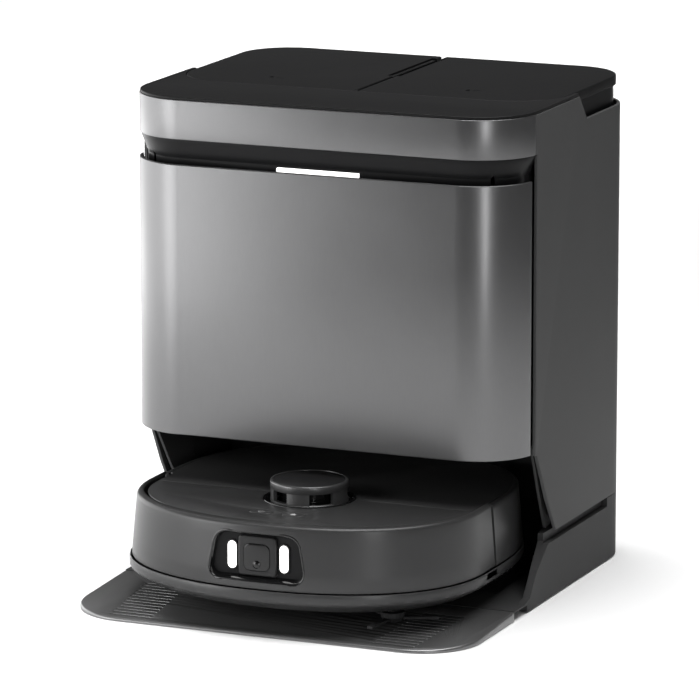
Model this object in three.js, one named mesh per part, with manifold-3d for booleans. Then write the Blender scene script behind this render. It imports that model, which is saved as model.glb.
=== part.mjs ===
// A robot vacuum and mop standing in its emptying and washing station.
// Millimetres, +Z up, +Y towards the back of the station, origin under the middle of the footprint.

import * as THREE from "three";
import { mergeVertices } from "three/addons/utils/BufferGeometryUtils.js";
import Module from "manifold-3d";

const wasm = await Module();
wasm.setup();

// ---- Driving dimensions. Station Y is 0 at the front of the band and the door. ----

const CLEARANCE = 0.3;
const WALL = 3;
const BEYOND = 250;

const DOCK_HALF_WIDTH = 197.5;
const DOCK_REAR_Y = 322;
const DOCK_TOP_Z = 466.5;
const DOCK_FRONT_RADIUS = 59.5;
const DOCK_REAR_RADIUS = 60;
const BAND_BOTTOM_Z = 426.7;
const BAND_TOP_Z = 463.5;
const RECESS_DEPTH = 8;
const LIGHT_BOTTOM_Z = 401.7;
const DOOR_BOTTOM_Z = 147.2;
const DOOR_TOP_Z = 403.2;
const DOOR_FRONT_Y = -0.4;
const DOOR_EDGE_Y = 47.2;
const SIDE_FRONT_Y = 55.8;
const SIDE_BOTTOM_Z = 63;
const NOTCH_Z = 440;
const NOTCH_TOP_Y = 164;
const NOTCH_END_Y = 183.8;
const REAR_WINDOW_HALF_WIDTH = 135;
const REAR_WINDOW_TOP_Z = 428;
const VENT_COUNT = 9;
const VENT_PITCH = 9;
const VENT_WIDTH = 4.5;
const VENT_BOTTOM_Z = 110;
const INLET_X = 110;
const INLET_Z = 87.5;
const INLET_WIDTH = 30;
const INLET_HEIGHT = 25;

const RAMP_FRONT_Y = -135.5;
const RAMP_REAR_Y = 5.3;
const RAMP_FRONT_RADIUS = 57.5;
const RAMP_EDGE_Z = 3.2;
const RAMP_FLAT_DEPTH = 8;
const GROOVE_COUNT = 9;
const GROOVE_PITCH = 12;
const GROOVE_FIRST_Y = -123;
const GROOVE_X = 128.5;
const GROOVE_LENGTH = 42;
const GROOVE_WIDTH = 6;
const GROOVE_DEPTH = 1.3;
const FLOOR_Z = 9.6;
const BASE_FRONT_Y = 5.8;
const BASE_TOP_Z = 54;
const BASE_UNDERSIDE_Z = 1.5;
const BASE_SEAM_END_Y = 248;
const BASIN_HALF_WIDTH = 158;
const BASIN_FRONT_Y = 59.5;
const BASIN_REAR_Y = 209.5;
const BASIN_Z = 5;
const RIB_COUNT = 12;
const RIB_PITCH = 11;
const FOOT_HALF_LENGTH = 150;
const FOOT_HALF_WIDTH = 8;
const FOOT_TOP_Z = 4.2;
const BAY_HALF_WIDTH = 181.5;
const BAY_FLARE = 9;
const BAY_FLARE_Y = 129.8;
const BAY_MOUTH_Y = 58.8;
const BAY_REAR_Y = 218.5;
const BAY_CEILING_Z = 151;
const BAY_LINER_WALL = 2.5;

const BAG_BAY_REAR_Y = 93;
const POCKET_BOTTOM_Z = 178;
const POCKET_TOP_Z = 388;
const POCKET_REAR_Y = 88;
const BAG_FRONT_Y = 26;
const BAG_REAR_Y = 84;
const BAG_LEFT_X = -152;
const BAG_RIGHT_X = 34;
const BOTTLE_LEFT_X = 76;
const BOTTLE_RIGHT_X = 168;

const LID_BOTTOM_Z = 457;
const LID_FRONT_Y = 96.5;
const LID_REAR_Y = 318.5;
const LID_OUTER_X = 191.5;
const LID_INNER_X = 2;
const LID_FRONT_RADIUS = 55;
const LID_REAR_RADIUS = 50.5;
const TANK_BOTTOM_Z = 325.5;
const TANK_WALL = 2.5;
const LID_SLOT_HALF_WIDTH = 8.5;
const LID_SLOT_FRONT_Y = 192;
const LID_SLOT_REAR_Y = 304;

const ROBOT_PARKED_Y = -6.5;
const ROBOT_BODY_Z = 1.4;
const ROBOT_MID_Y = 4.7;
const ROBOT_SIDE_END_Y = 30;
const ROBOT_REAR_Y = 211;
const ROBOT_SKIRT_HALF_WIDTH = 172.9;
const ROBOT_SKIRT_FRONT_Y = -134;
const BUMPER_HALF_WIDTH = 170.9;
const BUMPER_FRONT_Y = -132.3;
const BUMPER_DRAFT = 5;
const BUMPER_BOTTOM_Z = 44.2;
const BUMPER_TOP_Z = 103.4;
const BUMPER_END_Y = 30;
const WINDOW_BOTTOM_Z = 51.7;
const WINDOW_TOP_Z = 94.3;
const WINDOW_BOTTOM_HALF = 48;
const WINDOW_TOP_HALF = 40;
const WINDOW_RADIUS = 13;
const FILL_LIGHT_X = 25.7;
const FILL_LIGHT_HALF_WIDTH = 4.2;
const CAMERA_LENS_Z = 65.5;
const UNDERBODY_Z = 24;
const SKIRT_TOP_Z = 43.5;
const DECK_BOTTOM_Z = 98;
const DECK_TOP_Z = 101;
const DECK_SEAM_Y = 4;
const DECK_HALF_WIDTH = 160.6;
const DECK_FRONT_Y = -107;
const DECK_REAR_Y = 203.8;
const POWER_BUTTON_X = -19;
const HOME_BUTTON_X = 13;
const BUTTON_HALF_LENGTH = 11;
const BUTTON_FRONT_Y = -78;
const BUTTON_REAR_Y = -66;
const TURRET_Y = -5;
const TURRET_RING_RADIUS = 43;
const TURRET_CAP_RADIUS = 36.5;
const TURRET_TOP_Z = 119.5;
const TURRET_CAP_Z = 112;
const ROTOR_RADIUS = 27;

const WHEEL_X = 115;
const WHEEL_RADIUS = 35;
const WHEEL_WIDTH = 22;
const WHEEL_Z = 45.1;
const WHEEL_PIVOT_Y = 60;
const WHEEL_ARM_X = 14.6;
const TREAD_COUNT = 12;
const MOP_X = 74;
const MOP_Y = 138;
const MOP_RADIUS = 64;
const CASTER_Y = -92;
const CASTER_TRAIL = 6;
const CASTER_RADIUS = 7.5;
const CASTER_WHEEL_Z = 24;
const BRUSH_Y = -15;
const BRUSH_Z = 28;
const BRUSH_RADIUS = 17;
const BRUSH_HALF_LENGTH = 86;
const BRUSH_VANES = 6;
const SIDE_BRUSH_X = 112;
const SIDE_BRUSH_Y = -74;

// ---- Solids ----

function solidOf(geometry) {
  const plain = geometry.clone();
  plain.deleteAttribute("normal");
  plain.deleteAttribute("uv");
  const merged = mergeVertices(plain, 1e-4);
  return new wasm.Manifold(new wasm.Mesh({
    numProp: 3,
    vertProperties: new Float32Array(merged.attributes.position.array),
    triVerts: new Uint32Array(merged.index.array),
  }));
}

function geometryOf(solid) {
  const mesh = solid.getMesh();
  const geometry = new THREE.BufferGeometry();
  geometry.setAttribute("position", new THREE.BufferAttribute(new Float32Array(mesh.vertProperties), 3));
  geometry.setIndex(new THREE.BufferAttribute(new Uint32Array(mesh.triVerts), 1));
  geometry.computeVertexNormals();
  return geometry;
}

function joined(solids) {
  return solids.reduce((whole, solid) => whole.add(solid));
}

function without(solid, cutters) {
  return cutters.reduce((rest, cutter) => rest.subtract(cutter), solid);
}

function box(x0, y0, z0, x1, y1, z1) {
  const geometry = new THREE.BoxGeometry(x1 - x0, y1 - y0, z1 - z0);
  geometry.translate((x0 + x1) / 2, (y0 + y1) / 2, (z0 + z1) / 2);
  return solidOf(geometry);
}

function prism(shape, z0, z1, curveSegments = 7) {
  const geometry = new THREE.ExtrudeGeometry(shape, { depth: z1 - z0, bevelEnabled: false, curveSegments });
  geometry.translate(0, 0, z0);
  return solidOf(geometry);
}

// A shape drawn in (Y, Z) and extruded along X.
function sidePrism(points, x0, x1) {
  const shape = new THREE.Shape(points.map(([y, z]) => new THREE.Vector2(y, z)));
  const geometry = new THREE.ExtrudeGeometry(shape, { depth: x1 - x0, bevelEnabled: false });
  geometry.applyMatrix4(new THREE.Matrix4().set(0, 0, 1, x0, 1, 0, 0, 0, 0, 1, 0, 0, 0, 0, 0, 1));
  return solidOf(geometry);
}

// A shape drawn in (X, Z) and extruded along Y.
function frontPrism(shape, y0, y1, curveSegments = 6) {
  const geometry = new THREE.ExtrudeGeometry(shape, { depth: y1 - y0, bevelEnabled: false, curveSegments });
  geometry.rotateX(Math.PI / 2);
  geometry.translate(0, y1, 0);
  return solidOf(geometry);
}

function upright(radius, x, y, z0, z1, segments = 32) {
  const geometry = new THREE.CylinderGeometry(radius, radius, z1 - z0, segments);
  geometry.rotateX(Math.PI / 2);
  geometry.translate(x, y, (z0 + z1) / 2);
  return solidOf(geometry);
}

function axle(radius, x0, x1, y, z, segments = 24) {
  const geometry = new THREE.CylinderGeometry(radius, radius, x1 - x0, segments);
  geometry.rotateZ(Math.PI / 2);
  geometry.translate((x0 + x1) / 2, y, z);
  return solidOf(geometry);
}

// A turned body about a vertical axis, from (radius, z) points that start and end on the axis.
function turned(points, x, y, segments = 24) {
  const geometry = new THREE.LatheGeometry(points.map(([r, z]) => new THREE.Vector2(r, z)), segments);
  geometry.rotateX(Math.PI / 2);
  geometry.translate(x, y, 0);
  return solidOf(geometry);
}

// A stack of outlines with equally many points, each at its own height.
function loft(layers) {
  const count = layers[0].outline.length;
  const positions = [];
  const index = [];
  for (const { outline, z } of layers) {
    for (const point of outline) {
      positions.push(point.x, point.y, z);
    }
  }
  for (let layer = 0; layer + 1 < layers.length; layer += 1) {
    for (let i = 0; i < count; i += 1) {
      const a = layer * count + i;
      const b = layer * count + (i + 1) % count;
      index.push(a, b, b + count, a, b + count, a + count);
    }
  }
  const top = (layers.length - 1) * count;
  for (const [i, j, k] of THREE.ShapeUtils.triangulateShape(layers[0].outline, [])) {
    index.push(i, k, j);
  }
  for (const [i, j, k] of THREE.ShapeUtils.triangulateShape(layers.at(-1).outline, [])) {
    index.push(top + i, top + j, top + k);
  }
  const geometry = new THREE.BufferGeometry();
  geometry.setAttribute("position", new THREE.Float32BufferAttribute(positions, 3));
  geometry.setIndex(index);
  const merged = mergeVertices(geometry, 1e-4);
  return new wasm.Manifold(new wasm.Mesh({
    numProp: 3,
    vertProperties: new Float32Array(merged.attributes.position.array),
    triVerts: new Uint32Array(merged.index.array),
  }));
}

// ---- Outlines ----

// A closed shape's points, each given once.
function ringOf(shape, divisions) {
  const points = shape.getPoints(divisions);
  return points.filter((point, i) => point.distanceTo(points[(i + 1) % points.length]) > 1e-5);
}

// A rectangle with its own radius on each corner: front left, front right, rear right, rear left.
function roundedRectangle(x0, y0, x1, y1, [frontLeft, frontRight, rearRight, rearLeft]) {
  const shape = new THREE.Shape();
  shape.moveTo(x0 + frontLeft, y0);
  shape.lineTo(x1 - frontRight, y0);
  shape.absarc(x1 - frontRight, y0 + frontRight, frontRight, -Math.PI / 2, 0, false);
  shape.lineTo(x1, y1 - rearRight);
  shape.absarc(x1 - rearRight, y1 - rearRight, rearRight, 0, Math.PI / 2, false);
  shape.lineTo(x0 + rearLeft, y1);
  shape.absarc(x0 + rearLeft, y1 - rearLeft, rearLeft, Math.PI / 2, Math.PI, false);
  shape.lineTo(x0, y0 + frontLeft);
  shape.absarc(x0 + frontLeft, y0 + frontLeft, frontLeft, Math.PI, Math.PI * 1.5, false);
  return shape;
}

function dockOutline(inset) {
  const half = DOCK_HALF_WIDTH - inset;
  const front = Math.max(DOCK_FRONT_RADIUS - inset, 1);
  const rear = Math.max(DOCK_REAR_RADIUS - inset, 1);
  return roundedRectangle(-half, inset, half, DOCK_REAR_Y - inset, [front, front, rear, rear]);
}

function dockBlock(inset, z0, z1) {
  return prism(dockOutline(inset), z0, z1);
}

// The robot's outline: a squarish round front half, short straight sides and a fuller rear half.
function robotOutline(halfWidth, frontY, rearY, segments = 11) {
  const points = [];
  const corner = (angle, exponent) => [
    Math.sign(Math.cos(angle)) * Math.abs(Math.cos(angle)) ** (2 / exponent),
    Math.sign(Math.sin(angle)) * Math.abs(Math.sin(angle)) ** (2 / exponent),
  ];
  for (let i = 0; i <= 2 * segments; i += 1) {
    const [x, y] = corner(Math.PI + Math.PI * i / (2 * segments), 2.22);
    points.push(new THREE.Vector2(halfWidth * x, ROBOT_MID_Y + (ROBOT_MID_Y - frontY) * y));
  }
  for (let i = 0; i <= 2 * segments; i += 1) {
    const [x, y] = corner(Math.PI * i / (2 * segments), 2.8);
    points.push(new THREE.Vector2(halfWidth * x, ROBOT_SIDE_END_Y + (rearY - ROBOT_SIDE_END_Y) * y));
  }
  return points;
}

function robotBlock(halfWidth, frontY, rearY, z0, z1) {
  const outline = robotOutline(halfWidth, frontY, rearY);
  return loft([{ outline, z: z0 }, { outline, z: z1 }]);
}

function tankOutline(side, inset, rearInset = inset) {
  const near = LID_INNER_X + inset;
  const far = LID_OUTER_X - inset;
  const [x0, x1] = side < 0 ? [-far, -near] : [near, far];
  const outer = [LID_FRONT_RADIUS - inset, LID_REAR_RADIUS - inset];
  const radii = side < 0 ? [outer[0], 3, 3, outer[1]] : [3, outer[0], outer[1], 3];
  return roundedRectangle(x0, LID_FRONT_Y + inset, x1, LID_REAR_Y - rearInset, radii);
}

// ---- Station housing ----

function baseTray() {
  const block = joined([
    dockBlock(0, BASE_UNDERSIDE_Z, BASE_TOP_Z).subtract(box(-BEYOND, -BEYOND, 0, BEYOND, BASE_FRONT_Y, 100)),
    dockBlock(6, BASE_TOP_Z - 1, SIDE_BOTTOM_Z - CLEARANCE),
    dockBlock(0, BASE_TOP_Z - 1, SIDE_BOTTOM_Z - CLEARANCE)
      .subtract(box(-BEYOND, -BEYOND, 0, BEYOND, BASE_SEAM_END_Y, 100)),
  ]);
  const nose = prism(
    roundedRectangle(-DOCK_HALF_WIDTH, BASE_FRONT_Y, DOCK_HALF_WIDTH, 120, [2, 2, 2, 2]),
    BASE_UNDERSIDE_Z,
    BASE_TOP_Z,
  );
  const bay = box(-BAY_HALF_WIDTH, -50, FLOOR_Z, BAY_HALF_WIDTH, BAY_REAR_Y, 100);
  const basin = box(-BASIN_HALF_WIDTH, BASIN_FRONT_Y, BASIN_Z, BASIN_HALF_WIDTH, BASIN_REAR_Y, 30);
  const flare = prism(flareShape(0.01), FLOOR_Z, 100);
  const frontSlope = sidePrism([[-60, FLOOR_Z], [28.7, FLOOR_Z], [43.7, 13], [62.2, 34.7], [92.7, 55.6],
    [92.7, 100], [-60, 100]], -BEYOND, BEYOND);
  const notches = [-1, 1].map((side) => {
    const x = side * (DOCK_HALF_WIDTH - 5);
    return box(x - 6, 0, -1, x + 6, 37.2, 8);
  });
  const pocketHalf = FOOT_HALF_LENGTH + CLEARANCE;
  const footPockets = footPlaces().map(([, y]) => box(-pocketHalf, y - FOOT_HALF_WIDTH - CLEARANCE, 0,
    pocketHalf, y + FOOT_HALF_WIDTH + CLEARANCE, FOOT_TOP_Z + CLEARANCE));
  return without(block.add(nose), [bay, basin, flare, frontSlope, ...notches, ...footPockets]);
}

// The bay's mouth, which widens towards the front.
function flareShape(inset) {
  const half = BAY_HALF_WIDTH - inset;
  const mouth = half + BAY_FLARE;
  return new THREE.Shape([[-half, BAY_FLARE_Y], [-mouth, BAY_MOUTH_Y], [-mouth, -40], [mouth, -40],
    [mouth, BAY_MOUTH_Y], [half, BAY_FLARE_Y]].map(([x, y]) => new THREE.Vector2(x, y)));
}

function footPlaces() {
  return [["front", 52], ["rear", 285]];
}

function rampPlate() {
  const outline = roundedRectangle(-DOCK_HALF_WIDTH, RAMP_FRONT_Y, DOCK_HALF_WIDTH, RAMP_REAR_Y,
    [RAMP_FRONT_RADIUS, RAMP_FRONT_RADIUS, 2, 2]);
  const slab = prism(outline, 0, 40, 10);
  const flatY = RAMP_REAR_Y - RAMP_FLAT_DEPTH;
  const above = sidePrism([[RAMP_FRONT_Y - 1, RAMP_EDGE_Z], [flatY, FLOOR_Z],
    [RAMP_REAR_Y + 1, FLOOR_Z], [RAMP_REAR_Y + 1, 60], [RAMP_FRONT_Y - 1, 60]], -BEYOND, BEYOND);
  const grooves = [];
  for (let i = 0; i < GROOVE_COUNT; i += 1) {
    const y = GROOVE_FIRST_Y + i * GROOVE_PITCH;
    const z = RAMP_EDGE_Z + (FLOOR_Z - RAMP_EDGE_Z) * (y - RAMP_FRONT_Y) / (flatY - RAMP_FRONT_Y);
    for (const x of [-GROOVE_X, GROOVE_X]) {
      grooves.push(box(x - GROOVE_LENGTH / 2, y - GROOVE_WIDTH / 2, z - GROOVE_DEPTH,
        x + GROOVE_LENGTH / 2, y + GROOVE_WIDTH / 2, z + 5));
    }
  }
  return without(slab.subtract(above), grooves);
}

function washboard() {
  const half = BASIN_HALF_WIDTH - 1;
  const plate = prism(roundedRectangle(-half, BASIN_FRONT_Y + 1, half, BASIN_REAR_Y - 1, [12, 12, 12, 12]),
    BASIN_Z + CLEARANCE, 9, 4);
  const ribs = [];
  for (let i = 0; i < RIB_COUNT; i += 1) {
    const y = BASIN_FRONT_Y + 13 + i * RIB_PITCH;
    ribs.push(box(-140, y, 8, 140, y + 3, 11.8));
  }
  return joined([plate, ...ribs]);
}

function footStrip(y) {
  return box(-FOOT_HALF_LENGTH, y - FOOT_HALF_WIDTH, 0, FOOT_HALF_LENGTH, y + FOOT_HALF_WIDTH, FOOT_TOP_Z);
}

function outerShell() {
  const ring = dockBlock(0, SIDE_BOTTOM_Z, BAND_TOP_Z)
    .subtract(dockBlock(WALL, SIDE_BOTTOM_Z - 5, BAND_TOP_Z + 5));
  const underBand = box(-BEYOND, -BEYOND, 0, BEYOND, SIDE_FRONT_Y, BAND_BOTTOM_Z);
  const frontSlant = sidePrism([[0, 145.2], [59.8, 145.2], [86.8, 96.8], [111, 62], [0, 62]], -BEYOND, BEYOND);
  const notch = sidePrism([[NOTCH_TOP_Y, 500], [NOTCH_TOP_Y, BAND_TOP_Z], [NOTCH_END_Y, NOTCH_Z],
    [400, NOTCH_Z], [400, 500]], -BEYOND, BEYOND);
  const rearWindow = box(-REAR_WINDOW_HALF_WIDTH, 300, 0, REAR_WINDOW_HALF_WIDTH, 400, REAR_WINDOW_TOP_Z);
  return without(ring, [underBand, frontSlant, notch, rearWindow]);
}

function rearCover() {
  const half = REAR_WINDOW_HALF_WIDTH - CLEARANCE;
  const plate = box(-half, DOCK_REAR_Y - WALL, SIDE_BOTTOM_Z, half, DOCK_REAR_Y, REAR_WINDOW_TOP_Z - CLEARANCE);
  const vents = [];
  for (let i = 0; i < VENT_COUNT; i += 1) {
    const z = VENT_BOTTOM_Z + i * VENT_PITCH;
    vents.push(box(-110, 300, z, -30, 340, z + VENT_WIDTH));
  }
  return without(plate, [...vents, inletBlock(-0.4, 300, 340)]);
}

// The power inlet's rectangle, drawn in by an inset, between two depths.
function inletBlock(inset, y0, y1) {
  const halfWidth = INLET_WIDTH / 2 - inset;
  const halfHeight = INLET_HEIGHT / 2 - inset;
  return box(INLET_X - halfWidth, y0, INLET_Z - halfHeight, INLET_X + halfWidth, y1, INLET_Z + halfHeight);
}

function powerInlet() {
  const pins = [-5, 5].map((offset) => {
    const geometry = new THREE.CylinderGeometry(1.2, 1.2, 11, 10);
    geometry.translate(INLET_X + offset, 312.5, INLET_Z);
    return solidOf(geometry);
  });
  return joined([inletBlock(0, 304, DOCK_REAR_Y).subtract(inletBlock(4.2, 308, 330)), ...pins]);
}

function bayLiner() {
  const plan = (half) => prism(new THREE.Shape([[-half, BAY_FLARE_Y], [-half - BAY_FLARE, 64.8],
    [-half - BAY_FLARE, 18], [half + BAY_FLARE, 18], [half + BAY_FLARE, 64.8], [half, BAY_FLARE_Y],
    [half, BAY_REAR_Y + (half - BAY_HALF_WIDTH)], [-half, BAY_REAR_Y + (half - BAY_HALF_WIDTH)]]
    .map(([x, y]) => new THREE.Vector2(x, y))), SIDE_BOTTOM_Z, BAY_CEILING_Z + BAY_LINER_WALL);
  const outer = plan(BAY_HALF_WIDTH + BAY_LINER_WALL);
  const inner = plan(BAY_HALF_WIDTH);
  const hollow = inner.subtract(box(-BEYOND, -50, BAY_CEILING_Z, BEYOND, 400, 300));
  const mouth = box(-BAY_HALF_WIDTH - BAY_FLARE, -50, 0, BAY_HALF_WIDTH + BAY_FLARE, BAY_MOUTH_Y, BAY_CEILING_Z);
  const slant = sidePrism([[0, BAY_CEILING_Z], [58.8, BAY_CEILING_Z], [59.8, 145.2], [88.8, 96.8],
    [112, 62], [0, 62]], -BEYOND, BEYOND);
  const suctionHole = box(-22, 200, 67, 22, 260, 91);
  const behindDoor = dockBlock(12.5, 0, 500).add(box(-BEYOND, SIDE_FRONT_Y + 1, 0, BEYOND, 400, 500));
  return without(outer, [hollow, mouth, slant, suctionHole]).intersect(behindDoor);
}

function bagBay() {
  const outline = roundedRectangle(-185, 14, 185, BAG_BAY_REAR_Y, [46, 46, 2, 2]);
  const block = prism(outline, BAY_CEILING_Z + 3, 398);
  return without(block, [pocketCut(-176, 58), pocketCut(68, 176)]);
}

function pocketCut(x0, x1) {
  return frontPrism(roundedRectangle(x0, POCKET_BOTTOM_Z, x1, POCKET_TOP_Z, [14, 14, 14, 14]),
    -20, POCKET_REAR_Y, 3);
}

// The dark sloping reveal under the band and the upright face below it that carries the light bar.
function recessTrim() {
  const shape = (inset) => roundedRectangle(-DOCK_HALF_WIDTH + inset, inset, DOCK_HALF_WIDTH - inset,
    BAG_BAY_REAR_Y, [DOCK_FRONT_RADIUS - inset, DOCK_FRONT_RADIUS - inset, 1, 1]);
  const outline = (inset) => ringOf(shape(inset), 7);
  const top = BAND_BOTTOM_Z - CLEARANCE;
  const reveal = loft([
    { outline: outline(RECESS_DEPTH), z: 398.5 },
    { outline: outline(RECESS_DEPTH), z: 409 },
    { outline: outline(2), z: 422.6 },
    { outline: outline(0.8), z: top },
  ]);
  const hollow = box(-170, 17, 400, 170, 120, 500);
  const behind = box(-BEYOND, SIDE_FRONT_Y - CLEARANCE, 300, BEYOND, 200, 500)
    .subtract(box(-190, 0, 0, 190, 300, 500));
  const lightSlot = box(-42, 4, LIGHT_BOTTOM_Z - 0.4, 42, 20, LIGHT_BOTTOM_Z + 4.6);
  return without(reveal, [hollow, behind, lightSlot]);
}

function lightBar() {
  return box(-41, RECESS_DEPTH - 0.4, LIGHT_BOTTOM_Z, 41, 12, LIGHT_BOTTOM_Z + 4.2);
}

function topDeck() {
  const lip = dockBlock(0.8, BAND_TOP_Z + CLEARANCE, DOCK_TOP_Z);
  const plug = dockBlock(WALL + 0.6, 450, BAND_TOP_Z + 0.5);
  const wells = [-1, 1].map((side) => prism(tankOutline(side, -0.6), 400, 500));
  const between = box(-10, LID_FRONT_Y + 2, 400, 10, 400, 500);
  const behindNotch = sidePrism([[NOTCH_TOP_Y - 0.5, 500], [NOTCH_TOP_Y - 0.5, BAND_TOP_Z + CLEARANCE],
    [NOTCH_TOP_Y, 449], [400, 449], [400, 500]], -BEYOND, BEYOND);
  return without(lip.add(plug), [...wells, between, behindNotch]);
}

function tankBay() {
  const floorZ = TANK_BOTTOM_Z - CLEARANCE - 0.2;
  const half = DOCK_HALF_WIDTH - WALL - CLEARANCE;
  const rearRadius = DOCK_REAR_RADIUS - WALL - CLEARANCE;
  const outline = (inset) => roundedRectangle(-half + inset, LID_FRONT_Y - 2.5 + inset, half - inset,
    DOCK_REAR_Y - WALL - CLEARANCE - inset, [20 - inset, 20 - inset, rearRadius - inset, rearRadius - inset]);
  const block = prism(outline(0), floorZ - WALL, NOTCH_Z - 4);
  const well = prism(outline(1.9), floorZ, 500);
  return block.subtract(well);
}

// ---- Station contents ----

function dustBag() {
  const shape = (inset) => roundedRectangle(BAG_LEFT_X + inset, BAG_FRONT_Y + inset, BAG_RIGHT_X - inset,
    BAG_REAR_Y - inset, Array(4).fill(16 - inset / 2));
  const outline = (inset) => ringOf(shape(inset), 3);
  return loft([
    { outline: outline(10), z: 184 },
    { outline: outline(0), z: 200 },
    { outline: outline(0), z: 335 },
    { outline: outline(8), z: 362 },
    { outline: outline(16), z: 368 },
  ]);
}

function bagCollar() {
  const card = box(-112, 30, 368.6, -6, 80, 372);
  const grip = box(-74, 24, 368.6, -44, 34, 380);
  return card.add(grip);
}

function detergentBottle() {
  const plan = roundedRectangle(BOTTLE_LEFT_X, BAG_FRONT_Y, BOTTLE_RIGHT_X, BAG_REAR_Y, [12, 12, 12, 12]);
  const body = prism(plan, 180, 352, 5);
  const shoulder = loft([
    { outline: ringOf(plan, 5), z: 351 },
    { outline: ringOf(roundedRectangle(100, 36, 144, 74, [12, 12, 12, 12]), 5), z: 366 },
  ]);
  return joined([body, shoulder, upright(15, 122, 55, 364, 382, 24)]);
}

function suctionMotor() {
  return turned([[0, 170], [52, 170], [52, 205], [46, 210], [46, 250], [30, 262], [0, 262]], -96, 205, 32);
}

function waterPump() {
  return joined([
    box(28, 120, 158, 92, 165, 205),
    axle(17, 91, 135, 142, 182, 20),
    upright(6, 45, 142, 204, 222, 12),
  ]);
}

function dryerFan() {
  return joined([
    upright(44, 110, 245, 158, 196, 28),
    box(100, 200, 160, 152, 246, 192),
  ]);
}

function mainBoard() {
  return box(-30, 292, 170, 90, 296, 290);
}

function evacSeal() {
  return without(frontPrism(circleShape(0, 79.4, 27), 207.5, BAY_REAR_Y - 0.4, 8),
    [frontPrism(circleShape(0, 79.4, 21), 200, 240, 8)]);
}

function circleShape(x, z, radius) {
  const shape = new THREE.Shape();
  shape.absarc(x, z, radius, 0, Math.PI * 2, false);
  return shape;
}

function chargingContact(side) {
  return box(side * 62 - 7, 207, 89.4, side * 62 + 7, BAY_REAR_Y - 0.4, 95.4);
}

// ---- Door and tanks ----

function frontDoor() {
  const outline = (inset) => roundedRectangle(-DOCK_HALF_WIDTH + inset, DOOR_FRONT_Y + inset,
    DOCK_HALF_WIDTH - inset, 120, [DOCK_FRONT_RADIUS - inset, DOCK_FRONT_RADIUS - inset, 1, 1]);
  const slab = prism(outline(0), DOOR_BOTTOM_Z, DOOR_TOP_Z, 9);
  const pan = prism(outline(WALL), DOOR_BOTTOM_Z + WALL, DOOR_TOP_Z - WALL, 9);
  const opening = prism(outline(7), 0, 600, 9);
  const rear = box(-BEYOND, DOOR_EDGE_Y, 0, BEYOND, 200, 600);
  return without(slab, [pan, opening, rear]);
}

function tank(side) {
  const shell = prism(tankOutline(side, 1.5, 4), TANK_BOTTOM_Z, LID_BOTTOM_Z - CLEARANCE);
  const hollow = prism(tankOutline(side, 1.5 + TANK_WALL, 4 + TANK_WALL), TANK_BOTTOM_Z + TANK_WALL, 500);
  return shell.subtract(hollow);
}

function tankLid(side) {
  const plate = prism(tankOutline(side, 0), LID_BOTTOM_Z, DOCK_TOP_Z);
  const underside = prism(tankOutline(side, 5), LID_BOTTOM_Z - 5, DOCK_TOP_Z - WALL);
  const grip = box(-LID_SLOT_HALF_WIDTH, LID_SLOT_FRONT_Y, 400, LID_SLOT_HALF_WIDTH, LID_SLOT_REAR_Y, 500);
  const webX = side * (LID_SLOT_HALF_WIDTH + 2);
  const web = box(webX - 2, LID_SLOT_FRONT_Y - 5, LID_BOTTOM_Z, webX + 2, LID_SLOT_REAR_Y + 2, DOCK_TOP_Z - 1);
  return plate.subtract(underside).add(web).subtract(grip);
}

// ---- Robot body ----

function robotChassis() {
  const skirt = (inset) => robotOutline(ROBOT_SKIRT_HALF_WIDTH - inset, ROBOT_SKIRT_FRONT_Y + inset,
    ROBOT_REAR_Y - inset);
  const tray = loft([
    { outline: skirt(16), z: UNDERBODY_Z },
    { outline: skirt(3), z: 31.5 },
    { outline: skirt(0), z: 34.5 },
    { outline: skirt(0), z: SKIRT_TOP_Z },
  ]);
  const deckWall = robotBlock(157, -107, 204, 40, DECK_BOTTOM_Z - CLEARANCE)
    .subtract(robotBlock(154, -104, 201, 30, 120));
  const hollow = robotBlock(154, -104, 201, 30, SKIRT_TOP_Z + 10);
  const wheelWells = [-1, 1].map((side) => box(side * WHEEL_X - 16, -44, 0, side * WHEEL_X + 16, 78, 60));
  const brushWell = box(-92, BRUSH_Y - 23, 0, 92, BRUSH_Y + 23, 60);
  const casterWell = upright(21, 0, CASTER_Y, 0, 60, 24);
  const sideBrushHole = upright(4.6, SIDE_BRUSH_X, SIDE_BRUSH_Y, 0, 60, 16);
  const mopHoles = [-1, 1].map((side) => upright(12.6, side * MOP_X, MOP_Y, 0, 60, 20));
  const shell = without(tray.subtract(hollow).add(deckWall),
    [...wheelWells, brushWell, casterWell, sideBrushHole, ...mopHoles]);
  return shell.add(brushTunnel());
}

function brushTunnel() {
  const block = box(-93, BRUSH_Y - 24, UNDERBODY_Z, 93, BRUSH_Y + 24, 50);
  const half = BRUSH_HALF_LENGTH + 1;
  const tunnel = axle(BRUSH_RADIUS + 2, -half, half, BRUSH_Y, BRUSH_Z, 24);
  const throat = box(-half, BRUSH_Y - BRUSH_RADIUS - 2, 0, half, BRUSH_Y + BRUSH_RADIUS + 2, BRUSH_Z);
  return without(block, [tunnel, throat]);
}

function brushGuard() {
  const rails = [-26, 23].map((y) => box(-94, BRUSH_Y + y, 20, 94, BRUSH_Y + y + 3, 23.7));
  const ends = [-94, 91].map((x) => box(x, BRUSH_Y - 26, 20, x + 3, BRUSH_Y + 26, 23.7));
  return joined([...rails, ...ends]);
}

function robotRearShell() {
  const outer = loft([
    { outline: robotOutline(170, -131, ROBOT_REAR_Y - 1), z: SKIRT_TOP_Z + CLEARANCE },
    { outline: robotOutline(166.5, -127.6, ROBOT_REAR_Y - 4), z: DECK_TOP_Z - 0.5 },
  ]);
  const inner = robotBlock(161.2, -122, 204.4, 0, 200);
  const front = box(-BEYOND, -BEYOND, 0, BEYOND, BUMPER_END_Y + 4, 200);
  return without(outer, [inner, front]);
}

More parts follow.
